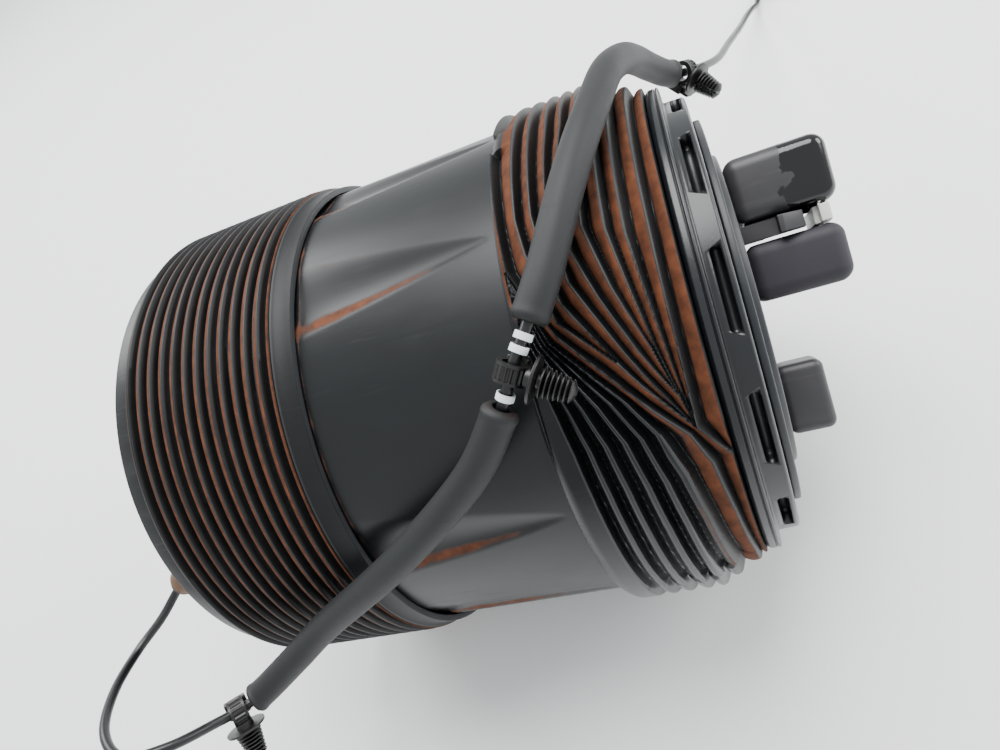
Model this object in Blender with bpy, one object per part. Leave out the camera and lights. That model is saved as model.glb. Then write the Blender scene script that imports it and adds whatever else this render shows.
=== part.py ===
"""Rear air suspension spring of a car, lying on its side, with its air line.

The spring's axis runs along +X, from the lower end to the mounting pegs, and both gaiters' crests touch z = 0.
Every turned piece is drawn as (station, radius) in millimetres: a station is a distance along the axis from the
lower rim. The origin is below the middle of the spring, on the surface that it lies on.
"""

import math

import bmesh
import bpy
from mathutils import Matrix, Vector

MM = 0.001
GAP = 0.3  # between pieces that touch on the real spring
RUNNING_GAP = 0.6  # between pieces that slide past each other

# Overall sizes
SHELL_RADIUS = 79.5
SHELL_WALL = 2.5
SHELL_START = 63.0
SHELL_LENGTH = 75.0
SHELL_END = SHELL_START + SHELL_LENGTH
CREST_RADIUS = SHELL_RADIUS + 4.0
FLUTE_DEPTH = 1.6
FLUTE_PAIR_ANGLES = tuple(math.radians(angle) for angle in (98.5, 154.7))  # one pair, repeated at each quarter turn
FLUTE_HALF_ANGLE = math.radians(9.0)

# Lower end
PLATE_RADIUS = SHELL_RADIUS - 3.5
PLATE_BACK = -4.0
PLATE_FRONT = 9.0
SOCKET_RADIUS = 9.0

# Rubber
GAITER_WALL = 2.0
CUFF_LENGTH = 7.0
LOWER_PLEATS = 12
LOWER_VALLEY_DEPTH = 2.8
UPPER_PLEATS = 8
UPPER_VALLEY_DEPTH = 4.0
UPPER_CUFF_LENGTH = 5.4  # its first pleat grips the shell
UPPER_TAPER = 0.5  # how fast the upper crests fall towards the flange
SLEEVE_WALL = 2.2
BAND_THICKNESS = 1.8
CLAMP_THICKNESS = 2.0

# Top cover, its flange and what it carries
NECK_START = SHELL_END + 3.0
COVER_SHOULDER = NECK_START + 19.0
COVER_RADIUS = SHELL_RADIUS - 17.5
COVER_WALL = 2.5
NECK_RADIUS = COVER_RADIUS - 11.0
NECK_WALL = 5.0
SPIGOT_START = COVER_SHOULDER + 6.0
SPIGOT_RADIUS = COVER_RADIUS + 5.5
FLANGE_START = COVER_SHOULDER + 15.0
FLANGE_THICKNESS = 4.0
FLANGE_RADIUS = COVER_RADIUS + 13.0
COLLAR_RADIUS = COVER_RADIUS + 8.0
COLLAR_END = FLANGE_START + 10.5
COVER_RIM = FLANGE_START + 13.0
SLOT_COUNT = 12
SLOT_DEPTH = 2.4
SLOT_WIDTH = 2.8
PEG_PLATE = COVER_RIM + 2.0
PEG_PLATE_RADIUS = COVER_RADIUS - 12.0
RIB_COUNT = 8
BUMP_STOP_LENGTH = 58.0
BUMP_STOP_RADIUS = 23.0
PISTON_RADIUS = NECK_RADIUS - 1.0
PISTON_WALL = 3.0
PISTON_TOP = SHELL_START + 29.0
COVER_CLOCK = math.radians(-55.0)  # turns the cover's own up direction about the axis

# Mounting pegs, in the cover's frame: depth across, height up
PEG_LENGTH = 30.0
PEG_DEPTH = 31.0
PEG_WALL = 2.6
UPPER_PEG_BOTTOM = 25.2
UPPER_PEG_HEIGHT = 20.6
LOWER_PEG_BOTTOM = 0.8
LOWER_PEG_HEIGHT = 18.0
LOCATOR_BOTTOM = -42.0
LOCATOR_HEIGHT = 22.0
LOCATOR_LENGTH = 14.0
LOCATOR_DEPTH = 20.0
HOOK_LENGTH = 16.5
HOOK_ROOT = 2.5
HOOK_THICKNESS = 3.0
HOOK_BARB = 4.0
INSERT_LENGTH = 5.0
INSERT_TRAVEL = 2.5

# Air fitting on the lower end
FITTING_ANGLE = math.radians(157.0)
FITTING_CENTRE_RADIUS = PLATE_RADIUS - 10.0
FITTING_LEAN = math.radians(30.0)
FITTING_RADIUS = 5.5
FITTING_LENGTH = 12.0
COLLET_RADIUS = 3.6
COLLET_CHAMFER = 0.6
COLLET_OUT = 2.4
COLLET_TRAVEL = 1.5
COLLET_IN = 3.6
SEAL_THICKNESS = 1.4

# Air line and what is on it
LINE_DIAMETER = 3.0
LINE_STEP = 9.0
SLEEVE_DIAMETER = 9.0
SLEEVE_BORE = 4.9
STRAP_WIDTH = 4.8
STRAP_THICKNESS = 1.4
STUD_DISC_RADIUS = 6.0
COIL_DIAMETER = 33.0
COIL_WIDTH = 9.6
COIL_HEIGHT = 6.6
CONNECTOR_RADIUS = 5.0
CONNECTOR_LENGTH = 24.0

RING_STEPS = 32
SMALL_STEPS = 16

PEG_TIP = PEG_PLATE + GAP + PEG_LENGTH
COLLET_MOUTH = COLLET_RADIUS - COLLET_CHAMFER
FITTING_REACH = (FITTING_LENGTH + COLLET_OUT) * math.cos(FITTING_LEAN) + COLLET_MOUTH * math.sin(FITTING_LEAN)
FITTING_BACK = PLATE_BACK - GAP - FITTING_REACH
MIDDLE = (PEG_TIP + FITTING_BACK) / 2
AXIS_HEIGHT = CREST_RADIUS

# The air line's route as (station, y, z), from just outside the fitting to the top of the coil
ROUTE = (
    (-27.0, -73.5, 99.5),
    (-32.5, -84.0, 101.5),
    (-30.0, -98.0, 109.0),
    (-21.5, -111.0, 116.0),
    (-10.5, -118.5, 117.0),
    (-0.5, -116.0, 110.5),
    (7.0, -109.5, 101.0),
    (12.5, -105.0, 96.0),
    (19.0, -100.5, 94.8),
    (34.0, -93.0, 99.5),
    (51.0, -86.4, 107.5),
    (85.0, -79.0, 126.0),
    (113.5, -68.6, 142.2),
    (127.5, -59.2, 153.5),
    (134.0, -52.0, 160.2),
    (140.0, -44.5, 164.6),
    (146.5, -34.0, 168.6),
    (154.0, -17.0, 172.6),
    (159.5, -2.0, 173.0),
    (164.0, 13.0, 170.6),
    (168.0, 31.0, 165.0),
    (171.5, 48.5, 154.6),
    (174.5, 64.5, 141.4),
    (178.0, 75.5, 129.0),
    (183.0, 83.0, 118.5),
    (190.0, 90.0, 111.0),
    (201.7, 110.5, 96.0),
    (210.0, 138.5, 80.5),
    (220.7, 180.5, 56.0),
    (228.9, 213.1, 38.0),
    (236.0, 242.1, 20.5),
    (241.5, 263.0, 7.5),
    (245.0, 278.0, 2.6),
    (247.0, 290.0, 1.7),
)
LOWER_CLIP_AT = 6.8  # places along the route, counted from its first point
LOWER_SLEEVE = (7.5, 13.12)
MIDDLE_CLIP_AT = 13.88
MARKER_BANDS_AT = (13.34, 14.42, 14.72)
UPPER_SLEEVE = (15.02, 24.3)
UPPER_CLIP_AT = 24.85
COIL_CENTRE = (270.5, 290.0)
TAIL = ((255.4, 308.0, 5.0), (264.0, 315.4, 5.0), (274.5, 317.2, 5.0))


def material(name, colour, roughness, metallic=0.0):
    made = bpy.data.materials.new(name)
    made.use_nodes = True
    shader = made.node_tree.nodes["Principled BSDF"]
    shader.inputs["Base Color"].default_value = (*colour, 1.0)
    shader.inputs["Roughness"].default_value = roughness
    shader.inputs["Metallic"].default_value = metallic
    made.diffuse_color = (*colour, 1.0)
    return made


def box_into(bm, low, high, matrix=None):
    """Adds a box between two corners."""
    size = Vector(high) - Vector(low)
    middle = (Vector(high) + Vector(low)) / 2
    place = Matrix.Translation(middle) @ Matrix.Diagonal((*size, 1.0))
    if matrix is not None:
        place = matrix @ place
    bmesh.ops.create_cube(bm, size=1.0, matrix=place)


def box_alone(low, high):
    bm = bmesh.new()
    box_into(bm, low, high)
    return bm


def add_object(name, bm, finish, parent):
    """A mesh object from bm, which is in millimetres."""
    bmesh.ops.remove_doubles(bm, verts=bm.verts, dist=0.0005)
    bmesh.ops.recalc_face_normals(bm, faces=bm.faces)
    bmesh.ops.scale(bm, vec=(MM, MM, MM), verts=bm.verts)
    mesh = bpy.data.meshes.new(name)
    bm.to_mesh(mesh)
    bm.free()
    mesh.materials.append(finish)
    mesh.shade_smooth()
    mesh.set_sharp_from_angle(angle=math.radians(35.0))
    made = bpy.data.objects.new(name, mesh)
    bpy.context.scene.collection.objects.link(made)
    made.parent = parent
    return made


def empty(name, matrix, parent=None):
    made = bpy.data.objects.new(name, None)
    bpy.context.scene.collection.objects.link(made)
    made.parent = parent
    made.matrix_local = matrix
    return made


def cutter(made):
    made.hide_render = True
    made.display_type = "WIRE"
    return made


def cut(target, tool, operation="DIFFERENCE"):
    modifier = target.modifiers.new(f"{operation.lower()} {tool.name}", "BOOLEAN")
    modifier.operation = operation
    modifier.solver = "EXACT"
    modifier.object = cutter(tool)


def united(name, pieces, finish, parent):
    """One object from overlapping closed pieces, each in its own bmesh."""
    whole = add_object(name, pieces[0], finish, parent)
    for number, piece in enumerate(pieces[1:], 1):
        cut(whole, add_object(f"{name}_piece_{number}", piece, finish, parent), "UNION")
    return whole


def spun(outline, steps):
    """bmesh of a closed outline of (station, radius) turned about the X axis."""
    bm = bmesh.new()
    verts = [bm.verts.new((station, radius, 0.0)) for station, radius in outline]
    pairs = list(zip(verts, verts[1:], strict=False))
    if outline[0][1] or outline[-1][1]:
        pairs.append((verts[-1], verts[0]))
    edges = [bm.edges.new(pair) for pair in pairs]
    bmesh.ops.spin(
        bm,
        geom=verts + edges,
        cent=(0.0, 0.0, 0.0),
        axis=(1.0, 0.0, 0.0),
        angle=math.tau,
        steps=steps,
        use_merge=True,
    )
    return bm


def turned(name, outline, finish, parent, steps=RING_STEPS):
    return add_object(name, spun(outline, steps), finish, parent)


def ring(name, start, end, inner, outer, finish, parent, steps=RING_STEPS):
    outline = ((start, inner), (start, outer), (end, outer), (end, inner))
    return turned(name, outline, finish, parent, steps)


def box(name, low, high, finish, parent, bevel=0.0, segments=3):
    bm = bmesh.new()
    box_into(bm, low, high)
    if bevel:
        bmesh.ops.bevel(bm, geom=bm.edges, offset=bevel, segments=segments, profile=0.5, affect="EDGES")
    return add_object(name, bm, finish, parent)


def pleated(start, end, count, crest, depth):
    """Outer points of a bellows, where crest is a function of the station that gives the radius."""
    pitch = (end - start) / count
    points = []
    for i in range(count):
        valley = start + pitch * i
        top = valley + pitch / 2
        points += [(valley, crest(valley) - depth), (top, crest(top))]
    points.append((end, crest(end) - depth))
    return points


def inside(outer, wall):
    """Inner points of a tube wall, from chosen outer points that run along +X, in reverse."""
    return [(station, radius - wall) for station, radius in reversed(outer)]


def along(centreline, wall):
    """Closed outline of a strip of this thickness about a line of (station, radius) points."""
    points = [Vector(point) for point in centreline]
    left, right = [], []
    for i, point in enumerate(points):
        run = points[min(i + 1, len(points) - 1)] - points[max(i - 1, 0)]
        side = Vector((-run.y, run.x)).normalized() * wall / 2
        left.append(tuple(point + side))
        right.append(tuple(point - side))
    return left + right[::-1]


def make_finishes():
    return {
        "shell": material("shell_plastic", (0.025, 0.027, 0.030), 0.32),
        "gaiter": material("gaiter_rubber", (0.10, 0.055, 0.035), 0.75),
        "sleeve": material("bellows_rubber", (0.03, 0.03, 0.032), 0.7),
        "cover": material("cover_plastic", (0.07, 0.07, 0.078), 0.5),
        "piston": material("piston_plastic", (0.05, 0.05, 0.055), 0.5),
        "steel": material("band_steel", (0.22, 0.21, 0.2), 0.4, 0.9),
        "insert": material("insert_plastic", (0.78, 0.76, 0.7), 0.45),
        "stop": material("stop_foam", (0.55, 0.47, 0.3), 0.85),
        "fitting": material("fitting_brass", (0.35, 0.2, 0.12), 0.6, 0.6),
        "line": material("line_polyamide", (0.03, 0.032, 0.035), 0.35),
        "line_sleeve": material("line_sleeve_foam", (0.045, 0.05, 0.055), 0.8),
        "marker": material("marker_band", (0.8, 0.82, 0.82), 0.4),
        "clip": material("clip_nylon", (0.05, 0.045, 0.045), 0.5),
    }


def make_lower_end(axis, finish):
    hub = SOCKET_RADIUS + 15.0
    turned(
        "base_plate",
        (
            (PLATE_FRONT - 3.0, 0.0),
            (PLATE_FRONT - 3.0, PLATE_RADIUS - 10.0),
            (PLATE_FRONT, PLATE_RADIUS - 8.0),
            (PLATE_FRONT, PLATE_RADIUS),
            (PLATE_BACK + 2.0, PLATE_RADIUS),
            (PLATE_BACK, PLATE_RADIUS - 2.0),
            (PLATE_BACK, PLATE_RADIUS - 18.0),
            (PLATE_BACK + 3.5, PLATE_RADIUS - 20.0),
            (PLATE_BACK + 3.5, hub + 2.0),
            (PLATE_BACK, hub),
            (PLATE_BACK, SOCKET_RADIUS),
            (PLATE_BACK + 6.5, SOCKET_RADIUS),
            (PLATE_BACK + 6.5, 0.0),
        ),
        finish["cover"],
        axis,
    )
    foot = PLATE_FRONT - 3.0 + GAP
    foot_radius = PISTON_RADIUS + 6.0
    turned(
        "piston",
        (
            (PISTON_TOP, 0.0),
            (PISTON_TOP, PISTON_RADIUS - 2.0),
            (PISTON_TOP - 2.0, PISTON_RADIUS),
            (foot + 12.0, PISTON_RADIUS),
            (foot + 3.0, foot_radius),
            (foot, foot_radius),
            (foot, foot_radius - 5.0),
            (foot + 12.0, PISTON_RADIUS - PISTON_WALL),
            (PISTON_TOP - PISTON_WALL, PISTON_RADIUS - PISTON_WALL),
            (PISTON_TOP - PISTON_WALL, 0.0),
        ),
        finish["piston"],
        axis,
    )
    clamp_inner = PISTON_RADIUS + GAP + SLEEVE_WALL + GAP
    ring(
        "sleeve_lower_clamp",
        PISTON_TOP - 8.0,
        PISTON_TOP - 2.5,
        clamp_inner,
        clamp_inner + CLAMP_THICKNESS,
        finish["steel"],
        axis,
    )


def make_lower_gaiter(axis, finish):
    cuff = PLATE_RADIUS + GAP + GAITER_WALL
    start = 0.8
    pleats_start = PLATE_FRONT + GAP
    shell_cuff = SHELL_RADIUS + GAP + GAITER_WALL
    pleats_end = SHELL_START - 2 * GAP
    pleats = pleated(pleats_start, pleats_end, LOWER_PLEATS, lambda station: CREST_RADIUS, LOWER_VALLEY_DEPTH)
    first_cuff = [(start, cuff), (pleats_start - 1.5, cuff)]
    last_cuff = [(pleats_end + GAP, shell_cuff), (pleats_end + CUFF_LENGTH, shell_cuff)]
    outline = first_cuff + pleats + last_cuff
    outline += inside([*first_cuff, pleats[0], pleats[-1], *last_cuff], GAITER_WALL)
    turned("lower_gaiter", outline, finish["gaiter"], axis)
    ring(
        "lower_gaiter_band",
        start + 0.6,
        pleats_start - 2.4,
        cuff + GAP,
        cuff + GAP + BAND_THICKNESS,
        finish["steel"],
        axis,
    )


def flute_at(angle, flute):
    """1 in the middle of the nearest flute of this set, which repeats at each quarter turn, and 0 beside it."""
    away = (angle - flute + math.pi / 4) % (math.pi / 2) - math.pi / 4
    return max(0.0, 1.0 - abs(away) / FLUTE_HALF_ANGLE)


def make_guide(axis, finish):
    """The fluted shell, the sleeve that rolls inside it and the ring that holds the sleeve against it."""
    steps = RING_STEPS
    end = SHELL_END
    stations = (0.0, 0.11, 0.28, 0.51, 0.75, 0.87, 1.0)
    depths = (0.0, 0.0, 0.85, 1.0, 0.45, 0.0, 0.0)
    bm = bmesh.new()
    loops = []
    for share, depth in zip(stations, depths, strict=True):
        loop = []
        for i in range(steps):
            angle = math.tau * i / steps
            groove = max(flute_at(angle, flute) for flute in FLUTE_PAIR_ANGLES)
            radius = SHELL_RADIUS - FLUTE_DEPTH * depth * groove
            station = SHELL_START + SHELL_LENGTH * share
            loop.append(bm.verts.new((station, radius * math.cos(angle), radius * math.sin(angle))))
        loops.append(loop)
    bore = SHELL_RADIUS - SHELL_WALL
    for station in (end, SHELL_START):
        loops.append(
            [
                bm.verts.new((station, bore * math.cos(math.tau * i / steps), bore * math.sin(math.tau * i / steps)))
                for i in range(steps)
            ]
        )
    for loop, following in zip(loops, loops[1:] + loops[:1], strict=True):
        for i in range(steps):
            j = (i + 1) % steps
            bm.faces.new((loop[i], loop[j], following[j], following[i]))
    add_object("guide_shell", bm, finish["shell"], axis)

    wall_middle = bore - GAP - SLEEVE_WALL / 2
    piston_side = PISTON_RADIUS + GAP + SLEEVE_WALL / 2
    neck_side = NECK_RADIUS + GAP + SLEEVE_WALL / 2
    neck_end = COVER_SHOULDER - 2 * GAP
    fold = SHELL_START + 3.5
    turned(
        "rolling_sleeve",
        along(
            (
                (neck_end, neck_side),
                (NECK_START + 1.0, neck_side),
                (NECK_START - 4.0, neck_side + 4.0),
                (NECK_START - 9.0, neck_side + 14.0),
                (NECK_START - 14.0, wall_middle - 2.4),
                (NECK_START - 19.0, wall_middle),
                (fold + 20.0, wall_middle),
                (fold + 8.5, wall_middle - 2.4),
                (fold + 1.5, wall_middle - 9.4),
                (fold, (wall_middle + piston_side) / 2),
                (fold + 3.5, piston_side + 2.6),
                (fold + 10.5, piston_side),
                (PISTON_TOP + 1.0, piston_side),
            ),
            SLEEVE_WALL,
        ),
        finish["sleeve"],
        axis,
    )
    ring_outer = wall_middle - SLEEVE_WALL / 2 - GAP
    middle = SHELL_START + SHELL_LENGTH / 2
    ring("guide_clamp_ring", middle, middle + 8.0, ring_outer - CLAMP_THICKNESS - 0.5, ring_outer, finish["steel"], axis)


def make_upper_gaiter(axis, finish):
    """Its first pleat grips the guide shell, and its lip sits on the collar's spigot, against the flange."""
    start = SHELL_END - UPPER_CUFF_LENGTH
    lip_inner = SPIGOT_RADIUS + GAP
    lip_end = FLANGE_START - GAP
    pleats_start = SHELL_END + 2 * GAP
    pleats_end = lip_end - 1.2
    taper = COVER_SHOULDER

    def crest(station):
        return CREST_RADIUS - UPPER_TAPER * max(0.0, station - taper)

    pleats = pleated(pleats_start, pleats_end, UPPER_PLEATS, crest, UPPER_VALLEY_DEPTH)
    first_pleat = [(start, CREST_RADIUS - 2.2), (start + 1.6, CREST_RADIUS - 0.3), (SHELL_END - 1.4, CREST_RADIUS)]
    outline = [*first_pleat, *pleats, (lip_end, pleats[-1][1])]
    inner_start = (SPIGOT_START - 6.0, CREST_RADIUS - UPPER_VALLEY_DEPTH)
    outline += [(lip_end, lip_inner), (SPIGOT_START, lip_inner)]
    outline += inside([pleats[0], inner_start], GAITER_WALL)
    outline += [(SHELL_END + GAP, SHELL_RADIUS + GAP), (start, SHELL_RADIUS + GAP)]
    turned("upper_gaiter", outline, finish["gaiter"], axis)


def make_cover(axis, finish):
    """The cup that closes the air chamber, and the ribs that stand in its annular groove."""
    groove_floor = COVER_RIM - 14.0
    groove_inner = PEG_PLATE_RADIUS + 2.0
    groove_outer = COVER_RADIUS - COVER_WALL
    cavity_radius = NECK_RADIUS - NECK_WALL
    cavity_end = PEG_PLATE - 3.0
    cover = turned(
        "top_cover",
        (
            (cavity_end, 0.0),
            (cavity_end, cavity_radius),
            (NECK_START, cavity_radius),
            (NECK_START, NECK_RADIUS),
            (COVER_SHOULDER, NECK_RADIUS),
            (COVER_SHOULDER + 4.0, COVER_RADIUS),
            (COVER_RIM, COVER_RADIUS),
            (COVER_RIM, groove_outer),
            (groove_floor, groove_outer),
            (groove_floor, groove_inner),
            (PEG_PLATE - 2.0, groove_inner - 1.0),
            (PEG_PLATE, PEG_PLATE_RADIUS),
            (PEG_PLATE, 0.0),
        ),
        finish["cover"],
        axis,
    )
    ribs = bmesh.new()
    for i in range(RIB_COUNT):
        turn = Matrix.Rotation(math.tau * (i + 0.5) / RIB_COUNT, 4, "X")
        low = (groove_floor - 1.0, -1.0, groove_inner - 2.0)
        box_into(ribs, low, (COVER_RIM - 4.0, 1.0, groove_outer + 1.0), turn)
    cut(cover, add_object("cover_ribs", ribs, finish["cover"], axis), "UNION")

    inner = COVER_RADIUS + GAP
    collar = turned(
        "slotted_collar",
        (
            (SPIGOT_START, inner),
            (SPIGOT_START, SPIGOT_RADIUS),
            (FLANGE_START, SPIGOT_RADIUS),
            (FLANGE_START, FLANGE_RADIUS - 1.0),
            (FLANGE_START + 1.0, FLANGE_RADIUS),
            (FLANGE_START + FLANGE_THICKNESS, FLANGE_RADIUS),
            (FLANGE_START + FLANGE_THICKNESS, COLLAR_RADIUS),
            (COLLAR_END, COLLAR_RADIUS - 1.0),
            (COLLAR_END, inner),
        ),
        finish["cover"],
        axis,
    )
    slots = bmesh.new()
    slot_middle = (FLANGE_START + FLANGE_THICKNESS + COLLAR_END) / 2 + 0.4
    half_length = 0.62 * math.pi * COLLAR_RADIUS / SLOT_COUNT
    for i in range(SLOT_COUNT):
        turn = Matrix.Rotation(math.tau * i / SLOT_COUNT, 4, "X")
        floor = math.sqrt((COLLAR_RADIUS - 1.0) ** 2 - half_length**2) - SLOT_DEPTH
        low = (slot_middle - SLOT_WIDTH / 2, -half_length, floor)
        box_into(slots, low, (slot_middle + SLOT_WIDTH / 2, half_length, COLLAR_RADIUS + 3.0), turn)
    cut(collar, add_object("collar_slots", slots, finish["cover"], axis))

    clamp_inner = NECK_RADIUS + GAP + SLEEVE_WALL + GAP
    ring(
        "sleeve_upper_clamp",
        NECK_START + 4.0,
        COVER_SHOULDER - 5.0,
        clamp_inner,
        clamp_inner + CLAMP_THICKNESS,
        finish["steel"],
        axis,
    )
    stop_end = cavity_end - GAP
    stop_start = stop_end - BUMP_STOP_LENGTH
    waist = BUMP_STOP_RADIUS - 4.0
    turned(
        "bump_stop",
        (
            (stop_start, 0.0),
            (stop_start, waist - 4.0),
            (stop_start + 8.0, BUMP_STOP_RADIUS - 3.0),
            (stop_start + 18.0, waist),
            (stop_start + 28.0, BUMP_STOP_RADIUS),
            (stop_start + 38.0, waist + 1.0),
            (stop_start + 46.0, BUMP_STOP_RADIUS),
            (stop_end, BUMP_STOP_RADIUS),
            (stop_end, 0.0),
        ),
        finish["stop"],
        axis,
        steps=32,
    )


def peg_half(name, bottom, height, length, open_side, cover, finish):
    """One half of the split peg: a rounded block, hollowed from the side that faces the other half."""
    foot = PEG_PLATE + GAP
    shell = box(
        name,
        (foot, -PEG_DEPTH / 2, bottom),
        (foot + length, PEG_DEPTH / 2, bottom + height),
        finish["cover"],
        cover,
        bevel=4.5,
    )
    low, high = bottom + PEG_WALL, bottom + height - PEG_WALL
    if open_side > 0:
        high = bottom + height + 2.0
    else:
        low = bottom - 2.0
    hollow = box(
        f"{name}_hollow",
        (foot + PEG_WALL, -PEG_DEPTH / 2 + PEG_WALL, low),
        (foot + length - PEG_WALL - 1.5, PEG_DEPTH / 2 - PEG_WALL, high),
        finish["cover"],
        cover,
    )
    cut(shell, hollow)


def make_pegs(cover, finish):
    foot = PEG_PLATE + GAP
    peg_half("peg_shell_upper", UPPER_PEG_BOTTOM, UPPER_PEG_HEIGHT, PEG_LENGTH, -1, cover, finish)
    peg_half("peg_shell_lower", LOWER_PEG_BOTTOM, LOWER_PEG_HEIGHT, PEG_LENGTH - 1.0, 1, cover, finish)
    box(
        "locator_peg",
        (foot, -LOCATOR_DEPTH / 2, LOCATOR_BOTTOM),
        (foot + LOCATOR_LENGTH, LOCATOR_DEPTH / 2, LOCATOR_BOTTOM + LOCATOR_HEIGHT),
        finish["cover"],
        cover,
        bevel=2.5,
    )

    slot_low = LOWER_PEG_BOTTOM + LOWER_PEG_HEIGHT + RUNNING_GAP
    slot_high = UPPER_PEG_BOTTOM - RUNNING_GAP
    face = -PEG_DEPTH / 2 + 1.0
    pivot = (foot + HOOK_ROOT, face + 2.0, (slot_low + slot_high) / 2)
    hook_frame = empty("hook_pivot", Matrix.Translation(Vector(pivot) * MM), cover)
    half = (slot_high - slot_low) / 2
    root = box_alone((-2.0, -2.0, -half), (4.5, 3.4, half))
    arm = box_alone((3.5, -2.0, -half), (HOOK_LENGTH - 2.0, -2.0 + HOOK_THICKNESS, half))
    barb_outline = (
        (HOOK_LENGTH - 7.5, -1.5),
        (HOOK_LENGTH - 7.5, -2.0 - HOOK_BARB),
        (HOOK_LENGTH - 6.0, -2.0 - HOOK_BARB),
        (HOOK_LENGTH, -1.8),
        (HOOK_LENGTH, 1.0),
        (HOOK_LENGTH - 7.5, 1.0),
    )
    barb = bmesh.new()
    lower = [barb.verts.new((x, y, -half + 0.05)) for x, y in barb_outline]
    upper = [barb.verts.new((x, y, half - 0.05)) for x, y in barb_outline]
    barb.faces.new(lower)
    barb.faces.new(upper[::-1])
    for i in range(len(barb_outline)):
        j = (i + 1) % len(barb_outline)
        barb.faces.new((lower[j], lower[i], upper[i], upper[j]))
    united("snap_hook", (root, arm, barb), finish["cover"], hook_frame)

    start = foot + HOOK_ROOT + HOOK_LENGTH + 0.5 + INSERT_TRAVEL
    bar = box_alone((start, -10.0, slot_low), (start + INSERT_LENGTH, 12.0, slot_high))
    tongue = box_alone((start + 1.5, -14.0, slot_low + 0.4), (start + INSERT_LENGTH - 0.4, -9.0, slot_high - 0.4))
    united("lock_insert", (bar, tongue), finish["insert"], cover)


def make_fitting(axis, finish):
    """Boss, seal and push-in collet, on an axis that leans along the rim."""
    radial = Vector((0.0, math.cos(FITTING_ANGLE), math.sin(FITTING_ANGLE)))
    along_rim = Vector((0.0, -math.sin(FITTING_ANGLE), math.cos(FITTING_ANGLE)))
    root = radial * FITTING_CENTRE_RADIUS + Vector((PLATE_BACK - GAP, 0.0, 0.0))
    out = Vector((-math.cos(FITTING_LEAN), 0.0, 0.0)) + along_rim * math.sin(FITTING_LEAN)
    side = radial
    third = out.cross(side)
    rotation = Matrix((out, side, third)).transposed().to_4x4()
    frame = empty("fitting_frame", Matrix.Translation(root * MM) @ rotation, axis)
    bore = LINE_DIAMETER / 2 + GAP
    collet_bore = COLLET_RADIUS + GAP
    collet_start = FITTING_LENGTH - COLLET_IN - COLLET_TRAVEL
    body = turned(
        "fitting_body",
        (
            (-4.0, FITTING_RADIUS),
            (FITTING_LENGTH - 1.0, FITTING_RADIUS),
            (FITTING_LENGTH, FITTING_RADIUS - 0.8),
            (FITTING_LENGTH, collet_bore),
            (collet_start - SEAL_THICKNESS - 2 * GAP, collet_bore),
            (collet_start - SEAL_THICKNESS - 2 * GAP, 0.0),
            (-4.0, 0.0),
        ),
        finish["fitting"],
        frame,
        steps=SMALL_STEPS,
    )
    trim = cutter(
        box(
            "fitting_trim",
            (PLATE_BACK - GAP, -PLATE_RADIUS - 40.0, -PLATE_RADIUS - 40.0),
            (PLATE_BACK + 40.0, PLATE_RADIUS + 40.0, PLATE_RADIUS + 40.0),
            finish["fitting"],
            axis,
        )
    )
    cut(body, trim)
    ring(
        "fitting_seal",
        collet_start - SEAL_THICKNESS - GAP,
        collet_start - GAP,
        bore,
        collet_bore - GAP,
        finish["sleeve"],
        frame,
        SMALL_STEPS,
    )
    collet_end = FITTING_LENGTH + COLLET_OUT
    turned(
        "fitting_collet",
        (
            (collet_start + COLLET_TRAVEL, bore),
            (collet_start + COLLET_TRAVEL, COLLET_RADIUS),
            (collet_end - 0.8, COLLET_RADIUS),
            (collet_end, COLLET_MOUTH),
            (collet_end, bore),
        ),
        finish["clip"],
        frame,
        steps=SMALL_STEPS,
    )
    to_world = Matrix.Translation((-MIDDLE, 0.0, AXIS_HEIGHT)) @ Matrix.Translation(root) @ rotation
    depth = collet_start + GAP
    return [to_world @ Vector((place, 0.0, 0.0)) for place in (depth, collet_end, collet_end + 6.0)]


def catmull_rom(points, at):
    """Point of the smooth curve through these points, at a place counted in points."""
    last = len(points) - 1
    i = min(max(int(at), 0), last - 1)
    t = at - i
    before, start, end, after = (Vector(points[min(max(i + k, 0), last)]) for k in (-1, 0, 1, 2))
    return 0.5 * (
        2 * start
        + (end - before) * t
        + (2 * before - 5 * start + 4 * end - after) * t**2
        + (3 * start - before - 3 * end + after) * t**3
    )


def evenly(points, first, last, step):
    """Points this far apart along the smooth curve, between two places counted in points."""
    fine = [catmull_rom(points, first + (last - first) * i / 2000) for i in range(2001)]
    lengths = [0.0]
    for start, end in zip(fine, fine[1:], strict=False):
        lengths.append(lengths[-1] + (end - start).length)
    count = max(2, round(lengths[-1] / step))
    chosen, k = [], 0
    for i in range(count + 1):
        while k < len(fine) - 1 and lengths[k] < lengths[-1] * i / count:
            k += 1
        chosen.append(fine[k])
    return chosen


def tube_curve(name, points, radius, finish, resolution=2):
    curve = bpy.data.curves.new(name, "CURVE")
    curve.dimensions = "3D"
    curve.bevel_depth = radius * MM
    curve.bevel_resolution = resolution
    curve.use_fill_caps = True
    spline = curve.splines.new("POLY")
    spline.points.add(len(points) - 1)
    for point, place in zip(spline.points, points, strict=True):
        point.co = (*(Vector(place) * MM), 1.0)
    curve.materials.append(finish)
    made = bpy.data.objects.new(name, curve)
    bpy.context.scene.collection.objects.link(made)
    return made


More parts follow.
